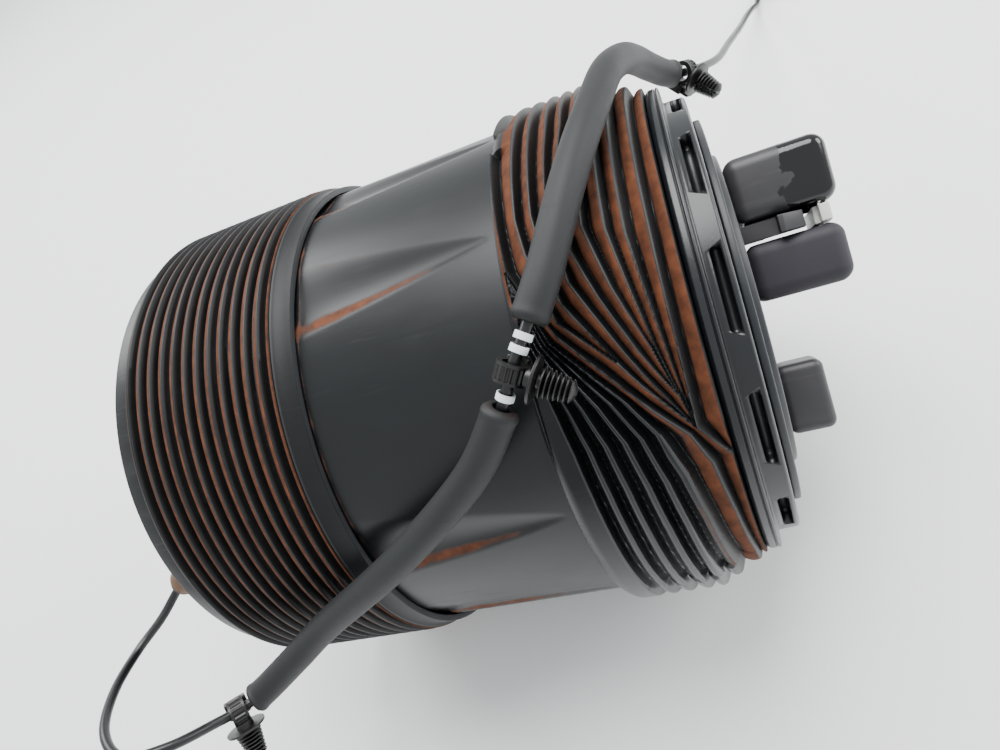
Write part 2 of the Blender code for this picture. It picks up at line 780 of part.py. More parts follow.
def hollow_tube(name, points, inner, outer, finish, sides=10):
    """A tube with a bore, swept along points with a frame that doesn't twist."""
    bm = bmesh.new()
    tangents = []
    for i in range(len(points)):
        tangents.append((points[min(i + 1, len(points) - 1)] - points[max(i - 1, 0)]).normalized())
    side = tangents[0].orthogonal().normalized()
    loops = {inner: [], outer: []}
    for point, tangent in zip(points, tangents, strict=True):
        side = (side - tangent * side.dot(tangent)).normalized()
        other = tangent.cross(side)
        for radius, kept in loops.items():
            kept.append(
                [
                    bm.verts.new(
                        point
                        + side * (radius * math.cos(math.tau * k / sides))
                        + other * (radius * math.sin(math.tau * k / sides))
                    )
                    for k in range(sides)
                ]
            )
    rows = loops[outer] + loops[inner][::-1]
    for row, following in zip(rows, rows[1:] + rows[:1], strict=True):
        for k in range(sides):
            j = (k + 1) % sides
            bm.faces.new((row[k], row[j], following[j], following[k]))
    return add_object(name, bm, finish, None)


def frame_on(points, at, across):
    """Matrix at a place on the route: X along the line, Z as near as it goes to the direction across."""
    place = catmull_rom(points, at)
    ahead = (catmull_rom(points, at + 0.05) - catmull_rom(points, at - 0.05)).normalized()
    up = (Vector(across) - ahead * Vector(across).dot(ahead)).normalized()
    rotation = Matrix((ahead, up.cross(ahead), up)).transposed().to_4x4()
    return Matrix.Translation(place * MM) @ rotation


def make_clip(name, points, at, bore, across, finish):
    """Cable tie round the line, its head, and the fir-tree stud that held it to the body."""
    frame = empty(f"{name}_frame", frame_on(points, at, across))
    outer = bore + STRAP_THICKNESS
    strap = ring(name, -STRAP_WIDTH / 2, STRAP_WIDTH / 2, bore, outer, finish["clip"], frame, SMALL_STEPS)
    head = box(f"{name}_head", (-3.4, -outer - 2.6, -2.6), (3.4, -outer + 0.9, 2.8), finish["clip"], frame, bevel=0.5)
    stud_frame = empty(f"{name}_stud", Matrix.Rotation(-math.pi / 2, 4, "Y"), frame)
    outline = [(outer - 0.6, 0.0), (outer - 0.6, 2.6), (outer + 1.2, 2.6)]
    outline += [(outer + 1.2, STUD_DISC_RADIUS), (outer + 2.2, STUD_DISC_RADIUS), (outer + 2.4, 1.9)]
    for i in range(3):
        foot = outer + 3.6 + 2.4 * i
        outline += [(foot, 1.9), (foot + 0.2, 3.7 - 0.2 * i), (foot + 1.5, 2.6)]
    outline += [(outer + 11.6, 1.0), (outer + 11.6, 0.0)]
    stud = turned(f"{name}_fir_tree", outline, finish["clip"], stud_frame, steps=8)
    cut(strap, head, "UNION")
    cut(strap, stud, "UNION")


def make_line(fitting_points, finish):
    """The tube from the fitting to the coil, and everything that is on it."""
    offset = Vector((-MIDDLE, 0.0, 0.0))
    route = [Vector(point) + offset for point in ROUTE]
    whole = fitting_points + route
    shift = len(fitting_points)

    def place(at):
        return at + shift

    tube_curve("air_line", evenly(whole, 0, len(whole) - 1, LINE_STEP), LINE_DIAMETER / 2, finish["line"])
    for name, (first, last) in (("line_sleeve_lower", LOWER_SLEEVE), ("line_sleeve_upper", UPPER_SLEEVE)):
        points = evenly(whole, place(first), place(last), LINE_STEP)
        hollow_tube(name, points, SLEEVE_BORE / 2, SLEEVE_DIAMETER / 2, finish["line_sleeve"])
    for number, at in enumerate(MARKER_BANDS_AT, 1):
        frame = empty(f"marker_frame_{number}", frame_on(whole, place(at), (0.0, 0.0, 1.0)))
        inner = LINE_DIAMETER / 2 + GAP
        ring(f"marker_band_{number}", -0.9, 0.9, inner, inner + 0.5, finish["marker"], frame, 12)
    bare = LINE_DIAMETER / 2 + GAP + 0.9
    make_clip("clip_lower", whole, place(LOWER_CLIP_AT), bare, (0.1, -0.8, -0.6), finish)
    make_clip("clip_middle", whole, place(MIDDLE_CLIP_AT), bare, (1.0, 0.05, 0.0), finish)
    make_clip("clip_upper", whole, place(UPPER_CLIP_AT), bare, (0.6, -0.75, -0.3), finish)

    centre = Vector((COIL_CENTRE[0], COIL_CENTRE[1], COIL_HEIGHT / 2)) + offset
    coil_frame = empty("coil_frame", Matrix.Translation(centre * MM) @ Matrix.Rotation(-math.pi / 2, 4, "Y"))
    middle = COIL_DIAMETER / 2
    low, high = -COIL_HEIGHT / 2 + 0.05, COIL_HEIGHT / 2
    half = COIL_WIDTH / 2
    turned(
        "air_line_coil",
        (
            (low, middle - half + 1.2),
            (low, middle + half - 1.2),
            (0.0, middle + half),
            (high, middle + half - 1.2),
            (high, middle - half + 1.2),
            (0.0, middle - half),
        ),
        finish["line"],
        coil_frame,
        steps=32,
    )
    tail = [Vector(point) + offset for point in TAIL]
    tube_curve("air_line_tail", evenly(tail, 0, len(tail) - 1, LINE_STEP), LINE_DIAMETER / 2, finish["line"])
    end = tail[-1]
    run = (end - tail[-2]).normalized()
    run.z = 0.0
    run.normalize()
    up = Vector((0.0, 0.0, 1.0))
    rotation = Matrix((run, up.cross(run), up)).transposed().to_4x4()
    seat = end + run * GAP
    seat.z = CONNECTOR_RADIUS + 0.05
    frame = empty("connector_frame", Matrix.Translation(seat * MM) @ rotation)
    turned(
        "line_connector",
        (
            (0.0, 0.0),
            (0.0, 3.2),
            (4.0, 3.6),
            (4.0, CONNECTOR_RADIUS),
            (14.0, CONNECTOR_RADIUS),
            (14.0, 3.4),
            (CONNECTOR_LENGTH - 2.0, 3.4),
            (CONNECTOR_LENGTH, 2.4),
            (CONNECTOR_LENGTH, 0.0),
        ),
        finish["fitting"],
        frame,
        steps=SMALL_STEPS,
    )


def main():
    for old in list(bpy.data.objects):
        bpy.data.objects.remove(old)
    finish = make_finishes()
    axis = empty("spring_axis", Matrix.Translation((-MIDDLE * MM, 0.0, AXIS_HEIGHT * MM)))
    cover = empty("cover_frame", Matrix.Rotation(COVER_CLOCK, 4, "X"), axis)
    make_lower_end(axis, finish)
    make_lower_gaiter(axis, finish)
    make_guide(axis, finish)
    make_upper_gaiter(axis, finish)
    make_cover(axis, finish)
    make_pegs(cover, finish)
    make_line(make_fitting(axis, finish), finish)


main()
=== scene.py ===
# %% [markdown]
# # A car's rear air spring, lying on its side
# The spring is a stack of turned pieces on one axis: a ribbed rubber gaiter, a fluted plastic shell, a second gaiter
# with slanted pleats, and a cover with a flange and mounting pegs. A thin air line in foam sleeves runs over it.
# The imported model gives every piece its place, so this file only adds finer shapes and finishes around it.

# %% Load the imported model
import math

import bmesh
import bpy
import numpy as np
from mathutils import Matrix, Vector


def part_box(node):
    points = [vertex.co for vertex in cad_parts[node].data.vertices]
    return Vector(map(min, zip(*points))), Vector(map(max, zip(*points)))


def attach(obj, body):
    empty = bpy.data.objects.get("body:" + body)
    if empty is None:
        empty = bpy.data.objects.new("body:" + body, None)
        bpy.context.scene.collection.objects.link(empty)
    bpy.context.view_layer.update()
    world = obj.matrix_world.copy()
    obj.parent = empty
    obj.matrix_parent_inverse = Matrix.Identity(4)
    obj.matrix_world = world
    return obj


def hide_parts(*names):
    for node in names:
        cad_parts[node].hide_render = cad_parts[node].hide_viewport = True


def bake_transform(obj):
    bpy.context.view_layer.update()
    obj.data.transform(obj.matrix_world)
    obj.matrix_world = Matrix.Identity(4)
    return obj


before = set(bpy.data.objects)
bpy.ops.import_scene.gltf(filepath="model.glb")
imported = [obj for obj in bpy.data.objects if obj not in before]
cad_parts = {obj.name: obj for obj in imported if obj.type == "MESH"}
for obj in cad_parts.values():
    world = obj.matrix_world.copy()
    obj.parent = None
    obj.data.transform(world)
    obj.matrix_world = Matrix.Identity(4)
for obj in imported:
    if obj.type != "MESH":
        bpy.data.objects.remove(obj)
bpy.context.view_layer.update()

# %% [markdown]
# ## Where things are
# Lengths along the axis are called stations, in millimetres, and start at the lower rim. The base plate's back face
# is at station -4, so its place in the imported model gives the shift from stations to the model's own X.

# %% Stations and the spring's axis
MM = 0.001
PLATE_BACK = -4.0
MIDDLE = PLATE_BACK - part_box("base_plate")[0][0] / MM
AXIS_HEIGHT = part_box("lower_gaiter")[1][2] / 2
GAITER_CREST = 83.5
NEAR_SIDE = 125.0  # direction about the axis, in degrees from +Y, that faces up and to the front
COVER_CLOCK = math.radians(-55.0)
SPRING = Matrix.Translation((-MIDDLE * MM, 0.0, AXIS_HEIGHT)) @ Matrix.Scale(MM, 4)
COVER = SPRING @ Matrix.Rotation(COVER_CLOCK, 4, "X")
print("axis height", round(AXIS_HEIGHT, 4), "middle station", round(MIDDLE, 2))

# %% [markdown]
# ## The camera
# A wide lens close to the spring, above its upper end and looking down along it. Its rotation is written as the
# three directions that it looks along: to its right, up and back.

# %% Camera
camera_data = bpy.data.cameras.new("camera")
camera_data.lens = 25.2
camera_data.sensor_width = 36.0
camera_data.clip_start = 0.01
camera = bpy.data.objects.new("camera", camera_data)
bpy.context.scene.collection.objects.link(camera)
right = Vector((0.91353, -0.03640, -0.40514))
up = Vector((0.24820, 0.83896, 0.48430))
camera.matrix_world = Matrix.Translation((0.08105, -0.13946, 0.28342)) @ Matrix((right, up, right.cross(up))).transposed().to_4x4()
bpy.context.scene.camera = camera
print("camera at", tuple(round(c, 3) for c in camera.location))

# %% [markdown]
# ## Shader groups
# Three effects come back on almost every piece. Each is a small node group with its own inputs, so that each
# finish can set how strong it is: clay dust that lies in hollows, a fine moulded grain, and rubbing marks.

# %% Helpers for node groups
def group_with(name, inputs, outputs):
    """A new shader group, its input node and its output node."""
    tree = bpy.data.node_groups.new(name, "ShaderNodeTree")
    for label, value in inputs:
        socket = tree.interface.new_socket(label, in_out="INPUT", socket_type="NodeSocketFloat")
        socket.default_value = value
    for label in outputs:
        tree.interface.new_socket(label, in_out="OUTPUT", socket_type="NodeSocketFloat")
    return tree, tree.nodes.new("NodeGroupInput"), tree.nodes.new("NodeGroupOutput")


def math_node(tree, operation, first, second=None, clamp=False):
    """A maths node; each argument is a socket or a number."""
    node = tree.nodes.new("ShaderNodeMath")
    node.operation = operation
    node.use_clamp = clamp
    for socket, value in zip(node.inputs, (first, second)):
        if value is None:
            continue
        if isinstance(value, (int, float)):
            socket.default_value = value
        else:
            tree.links.new(value, socket)
    return node.outputs[0]


def noise_node(tree, scale, detail=4.0, roughness=0.55, stretch=(1.0, 1.0, 1.0)):
    """Noise in the piece's own coordinates, in metres, so a scale of 1000 has features about 1 mm across."""
    place = tree.nodes.new("ShaderNodeTexCoord")
    mapping = tree.nodes.new("ShaderNodeMapping")
    mapping.inputs["Scale"].default_value = stretch
    noise = tree.nodes.new("ShaderNodeTexNoise")
    noise.inputs["Detail"].default_value = detail
    noise.inputs["Roughness"].default_value = roughness
    tree.links.new(place.outputs["Object"], mapping.inputs["Vector"])
    tree.links.new(mapping.outputs["Vector"], noise.inputs["Vector"])
    if isinstance(scale, (int, float)):
        noise.inputs["Scale"].default_value = scale
    else:
        tree.links.new(scale, noise.inputs["Scale"])
    return noise.outputs["Fac"]


def ramp_between(tree, value, low, high):
    """0 below low, 1 above high, smooth between."""
    node = tree.nodes.new("ShaderNodeMapRange")
    node.interpolation_type = "SMOOTHSTEP"
    tree.links.new(value, node.inputs["Value"])
    for label, bound in (("From Min", low), ("From Max", high)):
        if isinstance(bound, (int, float)):
            node.inputs[label].default_value = bound
        else:
            tree.links.new(bound, node.inputs[label])
    return node.outputs["Result"]


# %% Clay dust
def build_clay_dust():
    """Mask of dust: it fills where Hollow is near 1, and noise breaks up its edge."""
    tree, given, out = group_with(
        "clay dust", (("Hollow", 0.0), ("Cover", 0.0), ("Patchiness", 0.5), ("Scale", 120.0)), ("Mask",)
    )
    broad = noise_node(tree, given.outputs["Scale"], 5.0)
    fine = noise_node(tree, 2600.0, 2.0)
    grit = math_node(tree, "MULTIPLY", math_node(tree, "SUBTRACT", fine, 0.5), 0.35)
    patches = math_node(tree, "MULTIPLY", math_node(tree, "SUBTRACT", broad, 0.5), given.outputs["Patchiness"])
    total = math_node(tree, "ADD", given.outputs["Hollow"], given.outputs["Cover"])
    total = math_node(tree, "ADD", total, math_node(tree, "MULTIPLY", patches, 3.0))
    total = math_node(tree, "ADD", total, grit)
    tree.links.new(ramp_between(tree, total, 0.30, 0.85), out.inputs["Mask"])
    return tree


# %% Moulded grain and rubbing marks
def build_grain():
    """Height of a fine moulded or cast skin."""
    tree, given, out = group_with("fine grain", (("Scale", 2200.0),), ("Height",))
    tree.links.new(noise_node(tree, given.outputs["Scale"], 3.0, 0.6), out.inputs["Height"])
    return tree


def build_rubbing():
    """Mask of long smears and fine scratches that run along the axis and round it."""
    tree, given, out = group_with("rubbing", (("Scale", 60.0), ("Amount", 0.5)), ("Mask",))
    smears = noise_node(tree, given.outputs["Scale"], 6.0, 0.65, (0.35, 1.0, 1.0))
    scratches = noise_node(tree, 900.0, 2.0, 0.5, (0.06, 1.0, 1.0))
    both = math_node(tree, "ADD", ramp_between(tree, smears, 0.45, 0.75), ramp_between(tree, scratches, 0.62, 0.72))
    tree.links.new(math_node(tree, "MULTIPLY", both, given.outputs["Amount"], clamp=True), out.inputs["Mask"])
    return tree


CLAY_DUST = build_clay_dust()
FINE_GRAIN = build_grain()
RUBBING = build_rubbing()
print("shader groups:", [tree.name for tree in (CLAY_DUST, FINE_GRAIN, RUBBING)])

# %% [markdown]
# ## One recipe for weathered finishes
# Rubber, moulded plastic and nylon differ in colour, gloss and grain, but age alike: clay settles in hollows, raised
# lines are painted pale for rubbing wear and for a painted highlight along them, and wet spots shine. A mesh can carry
# three values at its points for this: hollow, rubbed and wet.

# %% The weathered finish
CLAY = (0.105, 0.033, 0.013)


def grouped(tree, group, **values):
    node = tree.nodes.new("ShaderNodeGroup")
    node.node_tree = group
    for label, value in values.items():
        socket = node.inputs[label]
        if isinstance(value, (int, float)):
            socket.default_value = value
        else:
            tree.links.new(value, socket)
    return node.outputs[0]


def mixed(tree, factor, first, second):
    """Colour mix; colours are triples or sockets."""
    node = tree.nodes.new("ShaderNodeMix")
    node.data_type = "RGBA"
    tree.links.new(factor, node.inputs["Factor"])
    for socket, value in ((node.inputs[6], first), (node.inputs[7], second)):
        if isinstance(value, tuple):
            socket.default_value = (*value, 1.0)
        else:
            tree.links.new(value, socket)
    return node.outputs[2]


def carried(tree, name):
    node = tree.nodes.new("ShaderNodeAttribute")
    node.attribute_name = name
    return node.outputs["Fac"]


def along_x(tree):
    place = tree.nodes.new("ShaderNodeTexCoord")
    split = tree.nodes.new("ShaderNodeSeparateXYZ")
    tree.links.new(place.outputs["Object"], split.inputs[0])
    return split.outputs["X"]


def weathered(
    name, colour, pale, roughness, clay=CLAY, hollow=1.0, cover=0.0, patchiness=0.12, dust_scale=120.0,
    grain=2200.0, grain_depth=0.00004, marks=0.5, metallic=0.0, specular=0.5, wet_from=None,
):
    """A Principled material whose colour, gloss and surface all vary over the piece."""
    made = bpy.data.materials.new(name)
    made.use_nodes = True
    tree = made.node_tree
    shader = tree.nodes["Principled BSDF"]
    shader.inputs["Metallic"].default_value = metallic
    shader.inputs["Specular IOR Level"].default_value = specular
    dust = grouped(
        tree, CLAY_DUST, Hollow=math_node(tree, "MULTIPLY", carried(tree, "hollow"), hollow),
        Cover=cover, Patchiness=patchiness, Scale=dust_scale,
    )
    wear_and_highlight = grouped(tree, RUBBING, Amount=marks)
    tint = noise_node(tree, 35.0, 3.0)
    base = mixed(tree, ramp_between(tree, tint, 0.3, 0.7), colour, tuple(c * 1.35 for c in colour))
    base = mixed(tree, math_node(tree, "MULTIPLY", wear_and_highlight, 0.35), base, pale)
    # Pale paint from the rubbed values on the mesh: rubbing wear, and a painted highlight along lips and edges.
    base = mixed(tree, math_node(tree, "MULTIPLY", carried(tree, "wear_and_highlight"), 0.8, clamp=True), base, pale)
    clay_tone = noise_node(tree, 260.0, 5.0)
    if wet_from:
        edge = math_node(tree, "ADD", along_x(tree), math_node(tree, "MULTIPLY", noise_node(tree, 110.0, 3.0), 0.022))
        pool = ramp_between(tree, edge, wet_from + 0.0105, wet_from + 0.0115)
        base = mixed(tree, pool, base, (0.003, 0.003, 0.004))
    dusty = mixed(tree, ramp_between(tree, clay_tone, 0.25, 0.75), tuple(c * 0.55 for c in clay), tuple(c * 1.25 for c in clay))
    tree.links.new(mixed(tree, dust, base, dusty), shader.inputs["Base Color"])
    rough = math_node(tree, "ADD", math_node(tree, "MULTIPLY", wear_and_highlight, 0.18), roughness)
    rough = math_node(tree, "ADD", rough, math_node(tree, "MULTIPLY", dust, 0.9 - roughness))
    wet = carried(tree, "wet")
    if wet_from:
        wet = math_node(tree, "MAXIMUM", wet, pool)
    dry = math_node(tree, "SUBTRACT", 1.0, wet, clamp=True)
    rough = math_node(tree, "MULTIPLY", rough, math_node(tree, "ADD", math_node(tree, "MULTIPLY", dry, 0.9), 0.1))
    tree.links.new(rough, shader.inputs["Roughness"])
    height = math_node(tree, "ADD", grouped(tree, FINE_GRAIN, Scale=grain), math_node(tree, "MULTIPLY", dust, 1.5))
    bump = tree.nodes.new("ShaderNodeBump")
    bump.inputs["Distance"].default_value = grain_depth
    bump.inputs["Strength"].default_value = 0.8
    tree.links.new(height, bump.inputs["Height"])
    tree.links.new(bump.outputs["Normal"], shader.inputs["Normal"])
    return made


# %% All finishes
FINISH = {
    "gaiter": weathered("gaiter_rubber", (0.0035, 0.004, 0.0045), (0.040, 0.045, 0.048), 0.46, patchiness=0.16, marks=0.2, specular=0.28),
    "shell": weathered("shell_plastic", (0.0022, 0.003, 0.0038), (0.010, 0.012, 0.014), 0.34, patchiness=0.30, marks=0.35, grain_depth=0.000012, specular=0.4),
    "cover": weathered("cover_plastic", (0.011, 0.013, 0.016), (0.045, 0.05, 0.056), 0.42, cover=0.04, patchiness=0.28),
    "collar": weathered("collar_plastic", (0.0045, 0.0055, 0.007), (0.03, 0.034, 0.038), 0.28, cover=0.0, patchiness=0.2, marks=0.3),
    "peg": weathered("peg_plastic", (0.024, 0.023, 0.026), (0.075, 0.072, 0.075), 0.42, cover=0.0, patchiness=0.22, grain_depth=0.00003),
    "peg_upper": weathered("upper_peg_plastic", (0.024, 0.023, 0.026), (0.075, 0.072, 0.075), 0.42, patchiness=0.22, grain_depth=0.00003, wet_from=0.1065),
    # A darker, rougher copy of the peg plastic that paints shade on the lower peg half, which is the same plastic as
    # the upper one.
    "peg_lower_shaded": weathered("lower_peg_shaded_plastic", (0.012, 0.0105, 0.016), (0.03, 0.028, 0.036), 0.62, cover=0.0, patchiness=0.2),
    "insert": weathered("insert_plastic", (0.62, 0.61, 0.58), (0.75, 0.74, 0.72), 0.4, cover=-0.1, marks=0.2),
    "line": weathered("line_polyamide", (0.005, 0.0055, 0.006), (0.03, 0.033, 0.036), 0.3, cover=-0.05, patchiness=0.1, grain_depth=0.000008),
    "foam": weathered("line_sleeve_foam", (0.0045, 0.0055, 0.0065), (0.018, 0.02, 0.022), 0.62, cover=-0.02, patchiness=0.18, grain=3200.0, grain_depth=0.00006, marks=0.3),
    "marker": weathered("marker_white", (0.70, 0.75, 0.76), (0.8, 0.82, 0.82), 0.4, cover=-0.05, marks=0.2),
    "clip": weathered("clip_nylon", (0.004, 0.0035, 0.0035), (0.03, 0.027, 0.025), 0.36, cover=0.14, patchiness=0.34, dust_scale=240.0),
    "wing": weathered("clip_wing", (0.18, 0.165, 0.15), (0.3, 0.28, 0.26), 0.45, cover=0.05, patchiness=0.3),
    "brass": weathered("fitting_brass", (0.13, 0.07, 0.035), (0.3, 0.2, 0.12), 0.5, cover=0.22, patchiness=0.3, metallic=0.5, dust_scale=300.0),
    "steel": weathered("band_steel", (0.012, 0.013, 0.014), (0.10, 0.10, 0.10), 0.35, cover=-0.05, patchiness=0.15, metallic=0.3),
    "piston": weathered("piston_plastic", (0.02, 0.02, 0.022), (0.07, 0.07, 0.07), 0.45),
    "bellows": weathered("bellows_rubber", (0.012, 0.012, 0.013), (0.05, 0.05, 0.05), 0.6),
    "stop": weathered("stop_foam", (0.45, 0.37, 0.22), (0.55, 0.48, 0.32), 0.85, cover=-0.2, grain=900.0, grain_depth=0.0002),
}
print("finishes:", len(FINISH))

# %% [markdown]
# ## Mesh helpers
# Most pieces are turned, so a grid of points, with a row for each station and a column for each direction, is the
# simplest mesh: every value that the finish needs can be worked out for the same grid.

# %% Grids and turned pieces
def link_mesh(name, verts, faces, finish, smooth_angle=40.0, values=None):
    mesh = bpy.data.meshes.new(name)
    mesh.from_pydata([tuple(v) for v in verts], [], faces)
    for label, numbers in (values or {}).items():
        mesh.attributes.new(label, "FLOAT", "POINT").data.foreach_set("value", np.ravel(numbers).astype(np.float32))
    mesh.materials.append(FINISH[finish])
    mesh.validate()
    mesh.shade_smooth()
    mesh.set_sharp_from_angle(angle=math.radians(smooth_angle))
    made = bpy.data.objects.new(name, mesh)
    bpy.context.scene.collection.objects.link(made)
    return made


def ring_grid(name, stations, radii, finish, directions=None, values=None, smooth_angle=40.0):
    """A closed skin from rows of radii about the spring's axis; the last row joins the first."""
    rows, columns = radii.shape
    if directions is None:
        directions = np.radians(NEAR_SIDE) + np.linspace(-np.pi, np.pi, columns, endpoint=False)
    x = np.broadcast_to(np.asarray(stations, float)[:, None], radii.shape)
    x = (x - MIDDLE) * MM
    y = radii * np.cos(directions)[None, :] * MM
    z = radii * np.sin(directions)[None, :] * MM + AXIS_HEIGHT
    points = np.stack([x, y, z], -1).reshape(-1, 3)
    faces = []
    for r in range(rows):
        for c in range(columns):
            d = (c + 1) % columns
            e = (r + 1) % rows
            faces.append((r * columns + c, r * columns + d, e * columns + d, e * columns + c))
    return link_mesh(name, points, faces, finish, smooth_angle, values)


def filleted(outline, size, steps=3):
    """The outline with each corner rounded by up to this size."""
    made = []
    points = [Vector(p) for p in outline]
    for i, corner in enumerate(points):
        before, after = points[i - 1] - corner, points[(i + 1) % len(points)] - corner
        reach = min(size, before.length * 0.45, after.length * 0.45)
        start, end = corner + before.normalized() * reach, corner + after.normalized() * reach
        for k in range(steps + 1):
            t = k / steps
            made.append(tuple(start * (1 - t) ** 2 + corner * 2 * t * (1 - t) + end * t**2))
    return made


def turned(name, outline, finish, steps=144, round_by=0.4, smooth_angle=40.0, values=None):
    """A turned ring from a closed outline of (station, radius), with no point on the axis."""
    outline = filleted(outline, round_by) if round_by else list(outline)
    stations = [p[0] for p in outline]
    radii = np.repeat(np.array([p[1] for p in outline])[:, None], steps, axis=1)
    return ring_grid(name, stations, radii, finish, values=values, smooth_angle=smooth_angle)


def baked(piece):
    """The piece with its modifiers applied."""
    graph = bpy.context.evaluated_depsgraph_get()
    mesh = bpy.data.meshes.new_from_object(piece.evaluated_get(graph))
    piece.modifiers.clear()
    piece.data = mesh
    return piece


def cut_by(piece, tool, operation="DIFFERENCE"):
    modifier = piece.modifiers.new("cut", "BOOLEAN")
    modifier.operation = operation
    modifier.solver = "EXACT"
    modifier.object = tool
    baked(piece)
    bpy.data.objects.remove(tool)
    return piece


def block(name, low, high, finish, frame_matrix, bevel=0.5, segments=4):
    """A box between two corners in millimetres in the given frame, with rounded edges."""
    bm = bmesh.new()
    size, middle = Vector(high) - Vector(low), (Vector(high) + Vector(low)) / 2
    bmesh.ops.create_cube(bm, size=1.0, matrix=Matrix.Translation(middle) @ Matrix.Diagonal((*size, 1.0)))
    if bevel:
        bmesh.ops.bevel(bm, geom=bm.edges, offset=bevel, segments=segments, profile=0.5, affect="EDGES")
    return from_bmesh(name, bm, finish, frame_matrix)


def from_bmesh(name, bm, finish, frame_matrix, smooth_angle=35.0):
    bmesh.ops.recalc_face_normals(bm, faces=bm.faces)
    bm.transform(frame_matrix)
    mesh = bpy.data.meshes.new(name)
    bm.to_mesh(mesh)
    bm.free()
    mesh.materials.append(FINISH[finish])
    mesh.shade_smooth()
    mesh.set_sharp_from_angle(angle=math.radians(smooth_angle))
    made = bpy.data.objects.new(name, mesh)
    bpy.context.scene.collection.objects.link(made)
    return made


def merged(name, pieces):
    """One object from several meshes that already lie in place."""
    bm = bmesh.new()
    for piece in pieces:
        bm.from_mesh(piece.data)
    mesh = bpy.data.meshes.new(name)
    bm.to_mesh(mesh)
    bm.free()
    for slot in pieces[0].data.materials:
        mesh.materials.append(slot)
    for piece in pieces:
        bpy.data.objects.remove(piece)
    made = bpy.data.objects.new(name, mesh)
    bpy.context.scene.collection.objects.link(made)
    return made


def give(piece, body, slot, *nodes):
    """Rides the piece on its body and hides the CAD nodes that it stands for. The slot is not used."""
    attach(piece, body)
    if nodes:
        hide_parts(*nodes)
    return piece

# %% [markdown]
# ## The air line
# A thin polyamide tube is one smooth curve: it leaves the fitting, loops up over the spring and runs down to the
# floor, where the spare length is wound in a coil of two layers. Handles at a sixth of the way between neighbours
# give the smooth curve that passes through every point.

# %% The route of the line
FITTING_START = ((-0.11155, -0.06216, 0.105974), (-0.117785, -0.063567, 0.102660), (-0.122982, -0.064739, 0.099899))
ROUTE = (
    (-27.0, -73.5, 99.5), (-32.5, -84.0, 101.5), (-30.0, -98.0, 109.0), (-21.5, -111.0, 116.0),
    (-10.5, -118.5, 117.0), (-0.5, -116.0, 110.5), (7.0, -109.5, 101.0), (12.5, -105.0, 96.0),
    (19.0, -100.5, 94.8), (34.0, -93.0, 99.5), (51.0, -86.4, 107.5), (85.0, -79.0, 126.0),
    (113.5, -68.6, 142.2), (127.5, -59.2, 153.5), (134.0, -52.0, 160.2), (140.0, -44.5, 164.6),
    (146.5, -34.0, 168.6), (154.0, -17.0, 172.6), (159.5, -2.0, 173.0), (164.0, 13.0, 170.6),
    (168.0, 31.0, 165.0), (171.5, 48.5, 154.6), (174.5, 64.5, 141.4), (178.0, 75.5, 129.0),
    (183.0, 83.0, 118.5), (190.0, 90.0, 111.0), (201.7, 110.5, 96.0), (210.0, 138.5, 80.5),
    (220.7, 180.5, 56.0), (228.9, 213.1, 38.0), (236.0, 242.1, 20.5), (241.5, 263.0, 7.5),
    (245.0, 278.0, 2.6), (247.0, 290.0, 1.7),
)
TAIL = ((255.4, 308.0, 5.0), (264.0, 315.4, 5.0), (274.5, 317.2, 5.0))
COIL_CENTRE = (270.5, 290.0)
COIL_RADII = (19.7, 16.5, 13.3)
LINE_DIAMETER = 3.0


def placed(point):
    """World position of (station, y, z) in millimetres."""
    return Vector(((point[0] - MIDDLE) * MM, point[1] * MM, point[2] * MM))


route = [Vector(p) for p in FITTING_START] + [placed(p) for p in ROUTE]


# %% The coil: in through the lower layer, out through the upper one
def coil_points(steps=16):
    """Clockwise turns from the left: three inwards on the floor, three outwards on top of them."""
    keys = [(0.0, 23.5, 1.7), (0.2, COIL_RADII[0], 1.6)]
    for turn, radius in enumerate(COIL_RADII):
        keys += [(turn + 0.25, radius, 1.6), (turn + 0.9, radius, 1.6)]
    for turn, radius in enumerate(reversed(COIL_RADII), 3):
        keys += [(turn + 0.2, radius, 4.9), (turn + 0.97, radius, 4.9)]
    keys += [(6.139, 23.5, 5.0)]
    turns, radii, heights = zip(*keys)
    made = []
    for i in range(1, int(6.139 * steps)):
        at = i / steps
        angle = math.pi - math.tau * at
        radius, height = np.interp(at, turns, radii), np.interp(at, turns, heights)
        made.append(placed((COIL_CENTRE[0] + radius * math.cos(angle), COIL_CENTRE[1] + radius * math.sin(angle), height)))
    return made


def smooth_curve(name, points, radius, finish, sides=5):
    """One open curve through all the points."""
    curve = bpy.data.curves.new(name, "CURVE")
    curve.dimensions = "3D"
    curve.bevel_depth = radius
    curve.bevel_resolution = sides
    curve.use_fill_caps = True
    spline = curve.splines.new("BEZIER")
    spline.resolution_u = 8
    spline.bezier_points.add(len(points) - 1)
    for i, knot in enumerate(spline.bezier_points):
        here, before, after = points[i], points[max(i - 1, 0)], points[min(i + 1, len(points) - 1)]
        reach = (after - before) / 6
        knot.co, knot.handle_left, knot.handle_right = here, here - reach, here + reach
    curve.materials.append(FINISH[finish])
    made = bpy.data.objects.new(name, curve)
    bpy.context.scene.collection.objects.link(made)
    return made


air_line = smooth_curve("air_line_tube", route + coil_points() + [placed(p) for p in TAIL], LINE_DIAMETER * MM / 2, "line")
give(air_line, "base", "line_polyamide", "air_line", "air_line_coil", "air_line_tail")


# %% [markdown]
# ## Foam sleeves, marker bands and clips
# These sit on the line, so each is placed by its distance along the route. A sleeve is a tube with a rolled edge at
# both ends; the slight unevenness of its wall is what makes foam look soft.

# %% Places along the route
def on_route(at):
    """Point of the smooth route, at a place counted in route points after the fitting's."""
    at += len(FITTING_START)
    i = min(max(int(at), 0), len(route) - 2)
    t = at - i
    a, b, c, d = (route[min(max(i + k, 0), len(route) - 1)] for k in (-1, 0, 1, 2))
    return 0.5 * (2 * b + (c - a) * t + (2 * a - 5 * b + 4 * c - d) * t**2 + (3 * b - a - 3 * c + d) * t**3)


